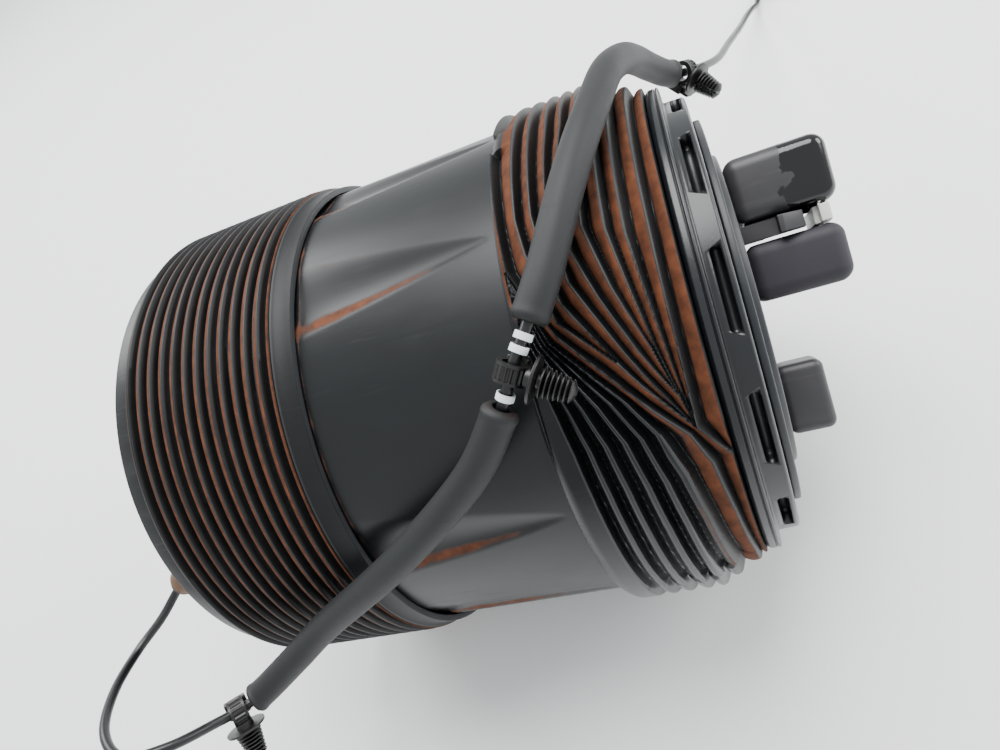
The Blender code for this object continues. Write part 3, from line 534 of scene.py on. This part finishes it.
def frame_on_route(at, across):
    """Frame in millimetres: X along the line and Z as near as it goes to the direction across."""
    ahead = (on_route(at + 0.05) - on_route(at - 0.05)).normalized()
    across = Vector(across)
    up = (across - ahead * across.dot(ahead)).normalized()
    turn = Matrix((ahead, up.cross(ahead), up)).transposed().to_4x4()
    return Matrix.Translation(on_route(at)) @ turn @ Matrix.Scale(MM, 4)


# %% Foam sleeves
def sleeve(name, first, last, inner, outer, sides=40):
    """Foam tube along the route, rounded at both ends, with a slightly uneven skin."""
    centres = [on_route(first + (last - first) * i / 160) for i in range(161)]
    travelled = np.concatenate([[0.0], np.cumsum([(b - a).length for a, b in zip(centres, centres[1:])])])
    side = (centres[1] - centres[0]).orthogonal().normalized()
    bm = bmesh.new()
    hollow = bm.verts.layers.float.new("hollow")
    rings = {inner: [], outer: []}
    for i, centre in enumerate(centres):
        ahead = (centres[min(i + 1, 160)] - centres[max(i - 1, 0)]).normalized()
        side = (side - ahead * side.dot(ahead)).normalized()
        other = ahead.cross(side)
        from_end = min(travelled[i], travelled[-1] - travelled[i]) / MM
        pull = 0.8 * math.exp(-((from_end / 0.6) ** 2)) - 0.25 * math.exp(-(((from_end - 1.6) / 1.0) ** 2))
        for radius, kept in rings.items():
            row = []
            for k in range(sides):
                turn = math.tau * k / sides
                size = radius - (pull if radius == outer else 0.0)
                size += 0.06 * math.sin(3 * turn + travelled[i] * 90) if radius == outer else 0.0
                vert = bm.verts.new(centre + (side * math.cos(turn) + other * math.sin(turn)) * size * MM)
                vert[hollow] = 0.42 * math.exp(-((from_end / 2.5) ** 2))
                row.append(vert)
            kept.append(row)
    loops = rings[outer] + rings[inner][::-1]
    for row, following in zip(loops, loops[1:] + loops[:1]):
        for k in range(sides):
            j = (k + 1) % sides
            bm.faces.new((row[k], row[j], following[j], following[k]))
    return from_bmesh(name, bm, "foam", Matrix.Identity(4), 60.0)


LOWER_SLEEVE, UPPER_SLEEVE = (7.5, 13.12), (15.02, 24.3)
lower_sleeve = sleeve("lower_foam_sleeve", *LOWER_SLEEVE, 2.45, 4.5)
upper_sleeve = sleeve("upper_foam_sleeve", *UPPER_SLEEVE, 2.45, 4.5)
give(lower_sleeve, "base", "line_sleeve_foam", "line_sleeve_lower")
give(upper_sleeve, "base", "line_sleeve_foam", "line_sleeve_upper")
print("sleeves on the line:", lower_sleeve.name, upper_sleeve.name)


# %% A turned piece in any frame
def spun(name, outline, finish, frame_matrix, steps=48, round_by=0.2, smooth_angle=35.0):
    """Turned about the frame's X axis; the outline may start and end on the axis."""
    on_axis = outline[0][1] == 0.0 and outline[-1][1] == 0.0
    points = [Vector(p) for p in outline]
    smooth = [points[0]] if on_axis else []
    span = range(1, len(points) - 1) if on_axis else range(len(points))
    for i in span:
        corner = points[i]
        before, after = points[i - 1] - corner, points[(i + 1) % len(points)] - corner
        reach = min(round_by, before.length * 0.45, after.length * 0.45)
        start, end = corner + before.normalized() * reach, corner + after.normalized() * reach
        smooth += [start * (1 - t) ** 2 + corner * 2 * t * (1 - t) + end * t * t for t in (0.0, 0.33, 0.67, 1.0)]
    smooth += [points[-1]] if on_axis else []
    bm = bmesh.new()
    verts = [bm.verts.new((p[0], p[1], 0.0)) for p in smooth]
    pairs = list(zip(verts, verts[1:])) + ([] if on_axis else [(verts[-1], verts[0])])
    edges = [bm.edges.new(pair) for pair in pairs]
    bmesh.ops.spin(bm, geom=verts + edges, cent=(0, 0, 0), axis=(1, 0, 0), angle=math.tau, steps=steps, use_merge=True)
    bmesh.ops.remove_doubles(bm, verts=bm.verts, dist=0.0005)
    return from_bmesh(name, bm, finish, frame_matrix, smooth_angle)


# %% Marker bands
for number, at in enumerate((13.34, 14.42, 14.72), 1):
    outline = ((-0.9, 1.8), (-0.9, 2.3), (0.9, 2.3), (0.9, 1.8))
    band = spun(f"marker_ring_{number}", outline, "marker", frame_on_route(at, (0, 0, 1)), 32, 0.12)
    give(band, "base", "marker_band", f"marker_band_{number}")
print("marker bands: 3")


# %% [markdown]
# ## Clips
# Each clip is a toothed cable tie with a square head, and a fir-tree stud that once held the line to the body. The
# stud's fins are thin cones that are cut into two combs, which is easiest to build from separate closed pieces.

# %% Clips
def fins(start, count, pitch, root, tip):
    """Outline of the stud: a disc, then cones that get narrower."""
    outline = [(start - 0.6, 0.0), (start - 0.6, 2.6), (start + 1.2, 2.6), (start + 1.2, 6.0), (start + 1.9, 5.9)]
    outline += [(start + 2.3, root)]
    for i in range(count):
        foot = start + 3.2 + pitch * i
        outline += [(foot, root), (foot + 0.15, tip - 0.16 * i), (foot + 0.45, tip - 0.2 * i), (foot + 0.95, root + 0.3)]
    return outline + [(start + 11.6, 0.9), (start + 11.6, 0.0)]


def clip(name, node, at, across):
    frame_matrix = frame_on_route(at, across)
    bore, thick, half = 2.7, 1.4, 2.4
    outer = bore + thick
    strap = bmesh.new()
    steps = 72
    rows = []
    for k in range(steps):
        turn = math.tau * k / steps
        tooth = outer - (0.35 if k % 4 < 2 else 0.0)
        ring = [(-half, bore), (-half, outer), (-half + 0.7, outer), (-half + 0.75, tooth), (half - 0.75, tooth)]
        ring += [(half - 0.7, outer), (half, outer), (half, bore)]
        rows.append([strap.verts.new((x, r * math.cos(turn), r * math.sin(turn))) for x, r in ring])
    for row, following in zip(rows, rows[1:] + rows[:1]):
        for k in range(len(row)):
            j = (k + 1) % len(row)
            strap.faces.new((row[k], row[j], following[j], following[k]))
    pieces = [from_bmesh(f"{name}_strap", strap, "clip", frame_matrix, 25.0)]
    pieces.append(block(f"{name}_head", (-3.4, -outer - 2.6, -2.6), (3.4, -outer + 0.9, 2.8), "clip", frame_matrix, 0.45))
    pieces.append(block(f"{name}_tongue", (-1.9, -outer - 2.5, 2.2), (1.9, -outer - 1.2, 5.6), "clip", frame_matrix, 0.3))
    stud_frame = frame_matrix @ Matrix.Rotation(-math.pi / 2, 4, "Y")
    stud = spun(f"{name}_stud", fins(outer, 7, 1.15, 1.7, 3.9), "clip", stud_frame, 40, 0.08)
    slit = block(f"{name}_slit", (outer + 2.6, -0.45, -5.0), (outer + 12.0, 0.45, 5.0), "clip", stud_frame, 0.0)
    pieces.append(cut_by(stud, slit))
    made = merged(name, pieces)
    return give(made, "base", "clip_nylon", node)


clips = [
    clip("lower_cable_clip", "clip_lower", 6.8, (0.1, -0.8, -0.6)),
    clip("middle_cable_clip", "clip_middle", 13.88, (1.0, 0.05, 0.0)),
    clip("upper_cable_clip", "clip_upper", 24.85, (0.6, -0.75, -0.3)),
]
print("clips:", [c.name for c in clips])

# %% [markdown]
# ## The fitting and the far connector
# Both are turned. The fitting's frame leans along the rim, and its direction comes from the first two route points.

# %% Fitting, collet and connector
line_out = (route[1] - route[0]).normalized()
seat_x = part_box("base_plate")[0][0]
fitting_angle = math.radians(157.0)
radial = Vector((0.0, math.cos(fitting_angle), math.sin(fitting_angle)))
collet_end = 14.4
origin = route[1] - line_out * collet_end * MM
turn = Matrix((line_out, radial, line_out.cross(radial))).transposed().to_4x4()
fitting_frame = Matrix.Translation(origin) @ turn @ Matrix.Scale(MM, 4)
body_outline = (
    (-4.0, 0.0), (-4.0, 5.5), (5.0, 5.5), (5.4, 4.9), (6.0, 4.9), (6.4, 5.5), (11.0, 5.5), (12.0, 4.7),
    (12.0, 3.9), (4.9, 3.9), (4.9, 0.0),
)
fitting = spun("air_fitting_body", body_outline, "brass", fitting_frame, 48)
keep_out = block("rim_side", (PLATE_BACK - 0.3, -120, -120), (PLATE_BACK + 40, 120, 120), "brass", SPRING, 0.0)
give(cut_by(fitting, keep_out), "base", "fitting_brass", "fitting_body")
collet_outline = ((8.4, 1.8), (8.4, 3.6), (12.6, 3.6), (12.9, 4.3), (13.9, 4.3), (14.4, 3.0), (14.4, 1.8))
give(spun("air_fitting_collet", collet_outline, "clip", fitting_frame, 40, 0.15), "collet", "clip_nylon", "fitting_collet")

low, high = (Vector(corner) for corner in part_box("line_connector"))
end = placed(TAIL[-1])
run = end - placed(TAIL[-2])
run.z = 0.0
run.normalize()
seat = end + run * 0.3 * MM
seat.z = (low.z + high.z) / 2
turn = Matrix((run, Vector((0, 0, 1)).cross(run), Vector((0, 0, 1)))).transposed().to_4x4()
connector_frame = Matrix.Translation(seat) @ turn @ Matrix.Scale(MM, 4)
connector_outline = [(0.0, 0.0), (0.0, 3.2), (4.0, 3.6), (4.0, 5.0)]
for start in (5.0, 7.0, 9.0, 11.0):
    connector_outline += [(start, 5.0), (start + 0.3, 4.6), (start + 0.9, 4.6), (start + 1.2, 5.0)]
connector_outline += [(14.0, 5.0), (14.0, 3.4), (17.0, 3.4), (17.4, 2.9), (19.0, 2.9), (19.4, 3.4), (22.0, 3.4)]
connector_outline += [(24.0, 2.4), (24.0, 0.0)]
connector = spun("line_end_connector", connector_outline, "brass", connector_frame, 48)
give(connector, "base", "fitting_brass", "line_connector")

# %% [markdown]
# ## The lower gaiter
# Its pleats are plain rings. Each one rises gently from a crease to a lip and then drops steeply, so clay stays
# on the gentle side, the lip gets a pale line, which is rubbing wear and a painted highlight, and the drop stays black.
# One function gives that shape and its marks.

# %% The section of one pleat
def lerp_band(value, low, high):
    """0 below low, 1 above high, smooth between, for arrays."""
    t = np.clip((value - low) / (high - low), 0.0, 1.0)
    return t * t * (3 - 2 * t)


def pleat_section(share, drop=0.24):
    """Height, clay, and the pale lip line of rubbing wear and painted highlight, for a share from 0, at the lip,
    through the drop and back up to 1, at the next lip.
    """
    falling = 0.5 * (1 + np.cos(np.pi * np.clip(share / drop, 0, 1)))
    rising = np.sin(np.pi / 2 * np.clip((share - drop) / (1 - drop), 0, 1)) ** 0.85
    height = np.where(share < drop, falling, rising)
    clay = lerp_band(share, drop * 0.8, drop * 1.5) * (1 - lerp_band(share, 0.90, 0.96))
    # The pale line at the lip stands for rubbing wear and a painted highlight.
    wear_and_highlight = np.maximum(1 - lerp_band(share, 0.0, 0.05), lerp_band(share, 0.955, 0.985))
    return height, clay, wear_and_highlight


def wander(directions, amount, seed):
    """A slow, smooth unevenness round a ring."""
    total = np.zeros_like(directions)
    for k in range(1, 5):
        total += np.sin(k * directions + seed * 1.7 * k) / k
    return total * amount


# %% Lower gaiter
ALL_ROUND = np.radians(NEAR_SIDE) + np.linspace(-np.pi, np.pi, 240, endpoint=False)
PLEATS_START, PLEATS_END, PLEAT_COUNT = 9.3, 62.4, 12
cuff = 78.3
lip_rows = [(0.8, cuff - 1.8), (0.85, cuff - 0.3), (1.2, cuff), (7.4, cuff), (8.2, cuff + 0.2), (9.0, 81.0)]
pleat_rows = np.linspace(PLEATS_START, PLEATS_END, PLEAT_COUNT * 14 + 1)
end_rows = [(62.9, 82.5), (63.2, 82.9), (63.8, 82.6), (64.5, 81.9), (68.6, 81.8), (69.2, 81.7), (69.4, 81.3), (69.4, 79.9)]
inner_rows = [(62.6, 79.8), (61.8, 78.7), (9.6, 78.7), (8.0, 76.5), (0.9, 76.4)]
rows = [(s, r, 0.15, 0.0) for s, r in lip_rows]
stations = [s for s, r in lip_rows] + list(pleat_rows) + [s for s, r in end_rows + inner_rows]
pitch = (PLEATS_END - PLEATS_START) / PLEAT_COUNT
radii, clay, wear_and_highlight, wet = [], [], [], []
# The pale values on the cuff edges paint a highlight along them, together with rubbing wear.
for s, r in lip_rows:
    radii.append(np.full(240, r))
    clay.append(np.full(240, 0.10))
    wear_and_highlight.append(np.full(240, 0.55 if s in (1.2, 8.2) else 0.0))
for s in pleat_rows:
    share = ((s - PLEATS_START) / pitch + 0.76 + wander(ALL_ROUND, 0.012, s // pitch)) % 1.0
    height, dust, lip_wear_and_highlight = pleat_section(share)
    radii.append(GAITER_CREST - 2.8 + 2.8 * height)
    near_start = lerp_band(np.full(240, s), 8.0, 15.0)
    clay.append(dust * (0.35 + 0.65 * near_start))
    wear_and_highlight.append(lip_wear_and_highlight)
for s, r in end_rows:
    radii.append(np.full(240, r))
    clay.append(np.full(240, 0.3 if s >= 69.3 else 0.0))
    # The pale crest of the end ring and its rim face: painted highlight, together with rubbing wear.
    wear_and_highlight.append(np.full(240, 0.8 if s == 63.2 or s >= 69.3 else 0.0))
for s, r in inner_rows:
    radii.append(np.full(240, r))
    clay.append(np.zeros(240))
    wear_and_highlight.append(np.zeros(240))
lower_gaiter = ring_grid(
    "lower_gaiter_rubber", stations, np.array(radii), "gaiter", ALL_ROUND,
    {"hollow": np.array(clay), "wear_and_highlight": np.array(wear_and_highlight)}, smooth_angle=50.0,
)
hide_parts("lower_gaiter")
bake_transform(lower_gaiter)
print("lower gaiter:", len(lower_gaiter.data.vertices), "points")

# %% The band that holds its cuff, and the plate inside it
band_outline = [(1.4, 78.6), (1.4, 80.2), (6.9, 80.2), (6.9, 78.6)]
give(spun("gaiter_band", band_outline, "steel", SPRING, 160, 0.5), "base", "band_steel", "lower_gaiter_band")
plate_outline = (
    (6.0, 0.0), (6.0, 66.0), (9.0, 68.0), (9.0, 76.0), (-2.0, 76.0), (-4.0, 74.0), (-4.0, 58.0), (-0.5, 56.0),
    (-0.5, 26.0), (-4.0, 24.0), (-4.0, 9.0), (2.5, 9.0), (2.5, 0.0),
)
plate = spun("lower_plate", plate_outline, "cover", SPRING, 160, 0.8)
ribs = []
for k in range(16):
    ribs.append(block(f"plate_rib_{k}", (-2.6, -0.9, 25.0), (0.2, 0.9, 57.0), "cover", SPRING @ Matrix.Rotation(math.tau * k / 16, 4, "X"), 0.3, 2))
give(merged("lower_plate_with_ribs", [plate, *ribs]), "base", "cover_plastic", "base_plate")
print("band and plate made")

# %% [markdown]
# ## The guide shell
# A smooth tube with long leaf-shaped flutes in pairs. A flute is widest near its lower end and runs out to a point,
# and its far edge is sharper than its near one, which catches a line of clay.

# %% Guide shell
FLUTES = [98.5 + 90 * k for k in range(4)] + [154.7 + 90 * k for k in range(4)]
shell_directions = np.radians(NEAR_SIDE) + np.linspace(-np.pi, np.pi, 720, endpoint=False)
shell_low, shell_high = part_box("guide_shell")[0][0] / MM + MIDDLE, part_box("guide_shell")[1][0] / MM + MIDDLE
shell_stations = np.linspace(shell_low + 0.3, shell_high - 0.3, 90)
radii, clay, wear_and_highlight = [], [], []
for s in shell_stations:
    ring = np.full(720, 79.5)
    dust, lip_wear_and_highlight = np.zeros(720), np.zeros(720)
    along = np.clip((s - 66.0) / (130.0 - 66.0), 0.0, 1.0)
    half = 9.0 * (1 - along) ** 0.75 * min(1.0, along / 0.05 + 0.35) + 0.2
    depth = 1.6 * math.sin(math.pi * min(1.0, along**0.55)) ** 0.7 if 0 < along < 1 else 0.0
    for flute in FLUTES:
        away = (np.degrees(shell_directions) - flute + 180) % 360 - 180
        across = away / half
        inside_it = np.abs(across) < 1
        bowl = np.where(inside_it, (1 - across**2) ** 1.3 * (1 + 0.5 * across), 0.0)
        ring = ring - depth * np.nan_to_num(bowl)
        edge = np.exp(-(((across - 0.75) / 0.22) ** 2)) + 0.35 * np.exp(-(((across + 0.9) / 0.15) ** 2))
        dust = dust + edge * depth / 1.6 * 0.9
    dust = dust + 0.5 * math.exp(-(((s - 69.9) / 0.4) ** 2))
    radii.append(ring)
    clay.append(dust)
    wear_and_highlight.append(lip_wear_and_highlight)
stations = [shell_low, *shell_stations, shell_high, shell_high, shell_low]
flat = lambda r: np.full(720, r)
radii = [flat(79.2), *radii, flat(79.2), flat(77.0), flat(77.0)]
clay = [flat(0), *clay, flat(0), flat(0), flat(0)]
shell = ring_grid("fluted_shell", stations, np.array(radii), "shell", shell_directions, {"hollow": np.array(clay)}, 50.0)
give(shell, "guide", "shell_plastic", "guide_shell")
print("guide shell:", len(shell.data.vertices), "points")

# %% [markdown]
# ## The upper gaiter
# This one has been twisted, so its creases run at a slant: one set fans out from a point at its lower edge and the
# other closes in a point near the flange. Every lip is drawn as a line of station against direction. At each
# direction the height then follows from where a point lies between two neighbouring lips.

# %% Lips of the slanted pleats, as (direction from the near side, station)
EDGE, FLANGE_END = 132.6, 174.6
FAN_SHARE = ((-17, 0.0), (-3, 0.23), (9, 0.66), (16, 0.84), (25, 0.93), (36, 0.985), (58, 1.05))
FAN_ENDS = (140.1, 145.1, 150.2, 155.7, 160.4, 165.2)
CLOSING = (
    ((-46, 139.5), (-26, 139.0), (-19, 140.2), (-6, 144.0), (3, 155.8), (10, 162.1), (17.4, 168.3)),
    ((-46, 144.0), (-26, 143.2), (-16, 144.6), (-9, 146.0), (-1, 152.5), (7, 159.2), (17.4, 168.3)),
    ((-46, 149.0), (-26, 147.3), (-12, 149.0), (-4, 154.2), (5, 160.0), (17.4, 168.3)),
    ((-46, 153.2), (-26, 150.0), (-17, 151.0), (-8, 155.2), (2, 160.8), (11, 166.6), (17.4, 168.3)),
    ((-46, 157.3), (-21, 154.8), (-9, 158.6), (2, 163.7), (17.4, 168.3)),
    ((-46, 161.2), (-19, 160.3), (2, 164.4), (17.4, 168.3)),
    ((-46, 165.0), (-18, 164.3), (4, 166.7), (17.4, 168.3)),
    ((-46, 170.0), (-17, 169.6), (4, 169.0), (17.4, 168.3)),
)
BELOW_POINT = ((-46, EDGE), (-17, 134.4), (-4, 143.1), (5, 153.1), (13, 161.7), (18, 166.6), (25, 169.6), (38, 171.2), (58, 172.6))
BACK_NEAR = (140.6, 145.4, 150.4, 150.4, 156.0, 160.8, 165.6, 165.6, 172.6)


def lips_at(direction):
    """Sorted stations of all lips at one direction, in degrees from the near side."""
    def along(line, last=None):
        keys, values = zip(*line)
        return float(np.interp(direction, keys, values))

    if -46 <= direction <= 58:
        share = float(np.interp(direction, *zip(*FAN_SHARE)))
        fan = [134.0 + (end - 134.0) * share if direction > -17 else EDGE for end in FAN_ENDS]
        past = max(0.0, direction - 17.4)
        closing = [along(line) + past * 0.8 for line in CLOSING]
        lips = fan + [along(BELOW_POINT)] + closing
    else:
        share = ((direction - 58) % 360) / (360 - 58 - 46)
        share = share * share * (3 - 2 * share)
        front = [EDGE] + [line[0][1] for line in CLOSING]
        lips = [near * (1 - share) + far * share for near, far in zip(BACK_NEAR, front)]
    return np.maximum.accumulate(np.clip([EDGE, *lips, FLANGE_END], EDGE, FLANGE_END))


# %% Upper gaiter
turns = np.concatenate([np.arange(-62, -22, 0.5), np.arange(-22, 40, 0.2), np.arange(40, 66, 0.5), np.arange(66, 298, 1.6)])
upper_directions = np.radians(NEAR_SIDE + turns)
columns = len(turns)
upper_rows = np.linspace(EDGE + 0.25, FLANGE_END - 0.2, 210)
radii = np.zeros((len(upper_rows), columns))
clay, wear_and_highlight, wet = np.zeros_like(radii), np.zeros_like(radii), np.zeros_like(radii)
for c, direction in enumerate(((turns + 180) % 360) - 180):
    lips = lips_at(direction)
    lips = lips[np.concatenate([[True], np.diff(lips) > 0.02])]
    place = np.clip(np.searchsorted(lips, upper_rows, side="right") - 1, 0, len(lips) - 2)
    gap = lips[place + 1] - lips[place]
    share = (upper_rows - lips[place]) / gap
    height, dust, lip_wear_and_highlight = pleat_section(share, 0.34)
    size = np.clip(gap / 4.2, 0.0, 1.0) ** 0.8
    crest = GAITER_CREST - 0.5 * np.maximum(0.0, upper_rows - 160.0)
    first = place == 0
    height = np.where(first, np.sin(np.pi / 2 * np.clip(share * 1.6 + 0.25, 0, 1)), height)
    radii[:, c] = crest - 3.0 * ((1 - height) * size + 0.35 * (1 - size))
    in_fan = float(lerp_band(np.array(direction), -14.0, -4.0) * (1 - lerp_band(np.array(direction), 60.0, 90.0)))
    fan_edge = np.interp(direction, *zip(*BELOW_POINT)) - 5.5 * lerp_band(np.array(direction), 14.0, 34.0)
    black = in_fan * (1 - lerp_band(upper_rows, fan_edge - 4.0, fan_edge + 1.0))
    clay[:, c] = dust * np.where(first, lerp_band(share, 0.45, 0.6), 1.0) * (1 - 0.92 * black) * lerp_band(size, 0.15, 0.45)
    # Pale lip lines: rubbing wear and a painted highlight along each lip.
    wear_and_highlight[:, c] = lip_wear_and_highlight * np.where(first & (share < 0.5), 0.4, 1.0) * (0.35 + 0.65 * size)
    wet[:, c] = black * 0.75
# A pale line along the gaiter's edge: painted highlight, with rubbing wear.
for row in (0, 1):
    wear_and_highlight[row] = np.maximum(wear_and_highlight[row], 0.5)
    clay[row] *= 0.2
ring_of = lambda value: np.full((1, columns), value)
stations = [EDGE, *upper_rows, FLANGE_END + 0.1, FLANGE_END + 0.1, 166.2, 159.9, 139.2, 138.4, EDGE]
crest_end = GAITER_CREST - 0.5 * (FLANGE_END - 160.0)
closing_rows = [ring_of(v) for v in (crest_end - 1.6, 67.9, 67.9, 77.4, 77.4, 79.85, 79.85)]
radii = np.vstack([radii[:1] - 0.9, radii, *closing_rows])
blank = [ring_of(0.0)] * len(closing_rows)
values = {label: np.vstack([value[:1], value, *blank]) for label, value in (("hollow", clay), ("wear_and_highlight", wear_and_highlight), ("wet", wet))}
upper_gaiter = ring_grid("upper_gaiter_rubber", stations, radii, "gaiter", upper_directions, values, 60.0)
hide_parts("upper_gaiter")
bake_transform(upper_gaiter)
print("upper gaiter:", len(upper_gaiter.data.vertices), "points")

# %% [markdown]
# ## The top cover and its slotted collar
# Both are turned, with flats and steps that are rounded at every corner. Ribs stand in the cover's groove, and the
# collar has a row of long rounded slots, which a Boolean cuts from it.

# %% Top cover
groove_floor, rim = 174.0, 188.0
cover_outline = (
    (187.0, 0.0), (187.0, 46.0), (141.0, 46.0), (141.0, 51.0), (160.0, 51.0), (164.0, 62.0), (184.6, 62.0),
    (185.0, 61.4), (185.6, 61.4), (186.0, 62.0), (188.0, 62.0), (188.0, 59.5), (groove_floor, 59.5),
    (groove_floor, 52.0), (188.0, 51.0), (190.0, 50.0), (190.0, 0.0),
)
cover = spun("cover_cup", cover_outline, "cover", SPRING, 180, 0.7)
ribs = []
for k in range(8):
    rib_frame = SPRING @ Matrix.Rotation(math.tau * (k + 0.5) / 8, 4, "X")
    ribs.append(block(f"cover_rib_{k}", (groove_floor - 0.5, -1.0, 50.5), (rim - 4.0, 1.0, 60.2), "cover", rib_frame, 0.4, 3))
give(merged("top_cover_moulding", [cover, *ribs]), "top_mount", "cover_plastic", "top_cover")
print("cover and", len(ribs), "ribs")

# %% Slotted collar and flange
collar_outline = (
    (166.0, 62.3), (166.0, 67.5), (175.0, 67.5), (175.0, 74.2), (176.0, 75.0), (177.6, 75.0), (177.75, 74.5),
    (177.95, 74.5), (178.1, 75.0), (178.7, 75.0), (179.0, 74.4), (179.0, 70.4), (179.5, 70.0), (184.9, 69.8),
    (185.5, 69.0), (185.5, 62.3),
)
collar = spun("flange_and_collar", collar_outline, "collar", SPRING, 180, 0.35)
slot_tools = []
for k in range(12):
    slot_frame = SPRING @ Matrix.Rotation(math.tau * k / 12, 4, "X")
    slot_tools.append(block(f"slot_{k}", (181.1, -10.8, 64.4), (183.9, 10.8, 73.0), "collar", slot_frame, 1.2, 3))
give(cut_by(collar, merged("slots", slot_tools)), "top_mount", "cover_plastic", "slotted_collar")
print("collar with 12 slots")

# %% [markdown]
# ## The snap peg and the locating block
# The split peg has two hollow halves with a hook between them that springs in, and an off-white insert that locks it.
# A rounded block with a hollow cut from one side makes each half; its own frame is turned with the cover.

# %% Peg halves
FOOT = 190.3


def peg(name, node, bottom, height, length, opens_up, finish):
    shell_part = block(name, (FOOT, -15.5, bottom), (FOOT + length, 15.5, bottom + height), finish, COVER, 4.4, 8)
    low, high = bottom + 2.6, bottom + height - 2.6
    low, high = (low, bottom + height + 4.0) if opens_up else (bottom - 4.0, high)
    hollow = block(f"{name}_hollow", (FOOT + 2.6, -12.9, low), (FOOT + length - 4.1, 12.9, high), finish, COVER, 1.6, 5)
    return give(cut_by(shell_part, hollow), "top_mount", "cover_plastic", node)


upper_peg = peg("upper_peg_half", "peg_shell_upper", 25.2, 20.6, 30.0, False, "peg_upper")
# The lower half gets the darker copy of the peg plastic: painted shade.
lower_peg = peg("lower_peg_half", "peg_shell_lower", 0.8, 18.0, 29.0, True, "peg_lower_shaded")
locator = block("locating_block", (FOOT, -10, -42), (FOOT + 14, 10, -20), "peg", COVER, 2.8, 6)
give(locator, "top_mount", "cover_plastic", "locator_peg")
print("peg halves and locating block made")

# %% Hook and insert
def extruded(name, outline, low, high, finish, frame_matrix, bevel=0.25):
    """A flat outline of (x, y) given a height along z."""
    bm = bmesh.new()
    floor = [bm.verts.new((x, y, low)) for x, y in outline]
    top = [bm.verts.new((x, y, high)) for x, y in outline]
    bm.faces.new(floor)
    bm.faces.new(top[::-1])
    for i in range(len(outline)):
        j = (i + 1) % len(outline)
        bm.faces.new((floor[j], floor[i], top[i], top[j]))
    bmesh.ops.bevel(bm, geom=bm.edges, offset=bevel, segments=3, profile=0.5, affect="EDGES")
    return from_bmesh(name, bm, finish, frame_matrix)


x, y = FOOT + 2.5, -12.5
hook_outline = (
    (x - 2.0, y - 2.0), (x + 9.0, y - 2.0), (x + 9.0, y - 6.0), (x + 10.5, y - 6.0), (x + 16.5, y - 1.8),
    (x + 16.5, y + 1.0), (x + 4.5, y + 1.0), (x + 4.5, y + 3.4), (x - 2.0, y + 3.4),
)
give(extruded("spring_hook", hook_outline, 19.4, 24.6, "peg", COVER), "hook", "cover_plastic", "snap_hook")
insert_outline = ((212.3, 12.0), (212.3, -10.0), (213.8, -10.0), (213.8, -14.0), (216.9, -14.0), (216.9, -10.0), (217.3, -10.0), (217.3, 12.0))
give(extruded("locking_insert", insert_outline, 19.4, 24.6, "insert", COVER, 0.35), "insert", "insert_plastic", "lock_insert")
print("hook and insert made")

# %% [markdown]
# ## Finishes for the hidden pieces
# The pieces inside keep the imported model's own shapes and only get better materials.

# %% Hidden pieces
for node, finish in (
    ("piston", "piston"), ("sleeve_lower_clamp", "steel"), ("sleeve_upper_clamp", "steel"),
    ("guide_clamp_ring", "steel"), ("bump_stop", "stop"), ("fitting_seal", "bellows"), ("rolling_sleeve", "bellows"),
):
    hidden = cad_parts[node]
    for slot_of in hidden.material_slots:
        slot_of.material = FINISH[finish]
print("hidden pieces finished")

# %% [markdown]
# ## Floor and light
# A pale floor that fades to white, a large soft light above, one to the left that draws the broad sheen along the
# shell, and a low one that lifts the underside.

# %% Floor
floor_finish = bpy.data.materials.new("pale_floor")
floor_finish.use_nodes = True
floor_finish.node_tree.nodes["Principled BSDF"].inputs["Base Color"].default_value = (0.93, 0.93, 0.93, 1.0)
floor_finish.node_tree.nodes["Principled BSDF"].inputs["Roughness"].default_value = 0.9
floor_bm = bmesh.new()
bmesh.ops.create_grid(floor_bm, x_segments=2, y_segments=2, size=6.0)
floor_mesh = bpy.data.meshes.new("floor")
floor_bm.to_mesh(floor_mesh)
floor_bm.free()
floor_mesh.materials.append(floor_finish)
floor_object = bpy.data.objects.new("floor", floor_mesh)
bpy.context.scene.collection.objects.link(floor_object)
floor_object.location.z = -0.0005

# %% Light
world = bpy.context.scene.world or bpy.data.worlds.new("studio")
bpy.context.scene.world = world
world.use_nodes = True
world.node_tree.nodes["Background"].inputs["Color"].default_value = (0.95, 0.98, 1.0, 1.0)
world.node_tree.nodes["Background"].inputs["Strength"].default_value = 1.15


def soft_light(name, place, target, size, power):
    data = bpy.data.lights.new(name, "AREA")
    data.shape = "DISK"
    data.size = size
    data.energy = power
    made = bpy.data.objects.new(name, data)
    bpy.context.scene.collection.objects.link(made)
    made.location = place
    made.rotation_euler = (Vector(target) - Vector(place)).to_track_quat("-Z", "Y").to_euler()
    return made


soft_light("overhead", (0.1, 0.4, 1.2), (0, 0, 0.08), 0.9, 22.0)
soft_light("long_sheen", (-0.9, 0.7, 0.9), (0, 0, 0.08), 0.8, 12.0)
soft_light("end_light", (0.9, 0.3, 0.5), (0.05, 0, 0.08), 0.5, 6.0)
print("floor and three soft lights")
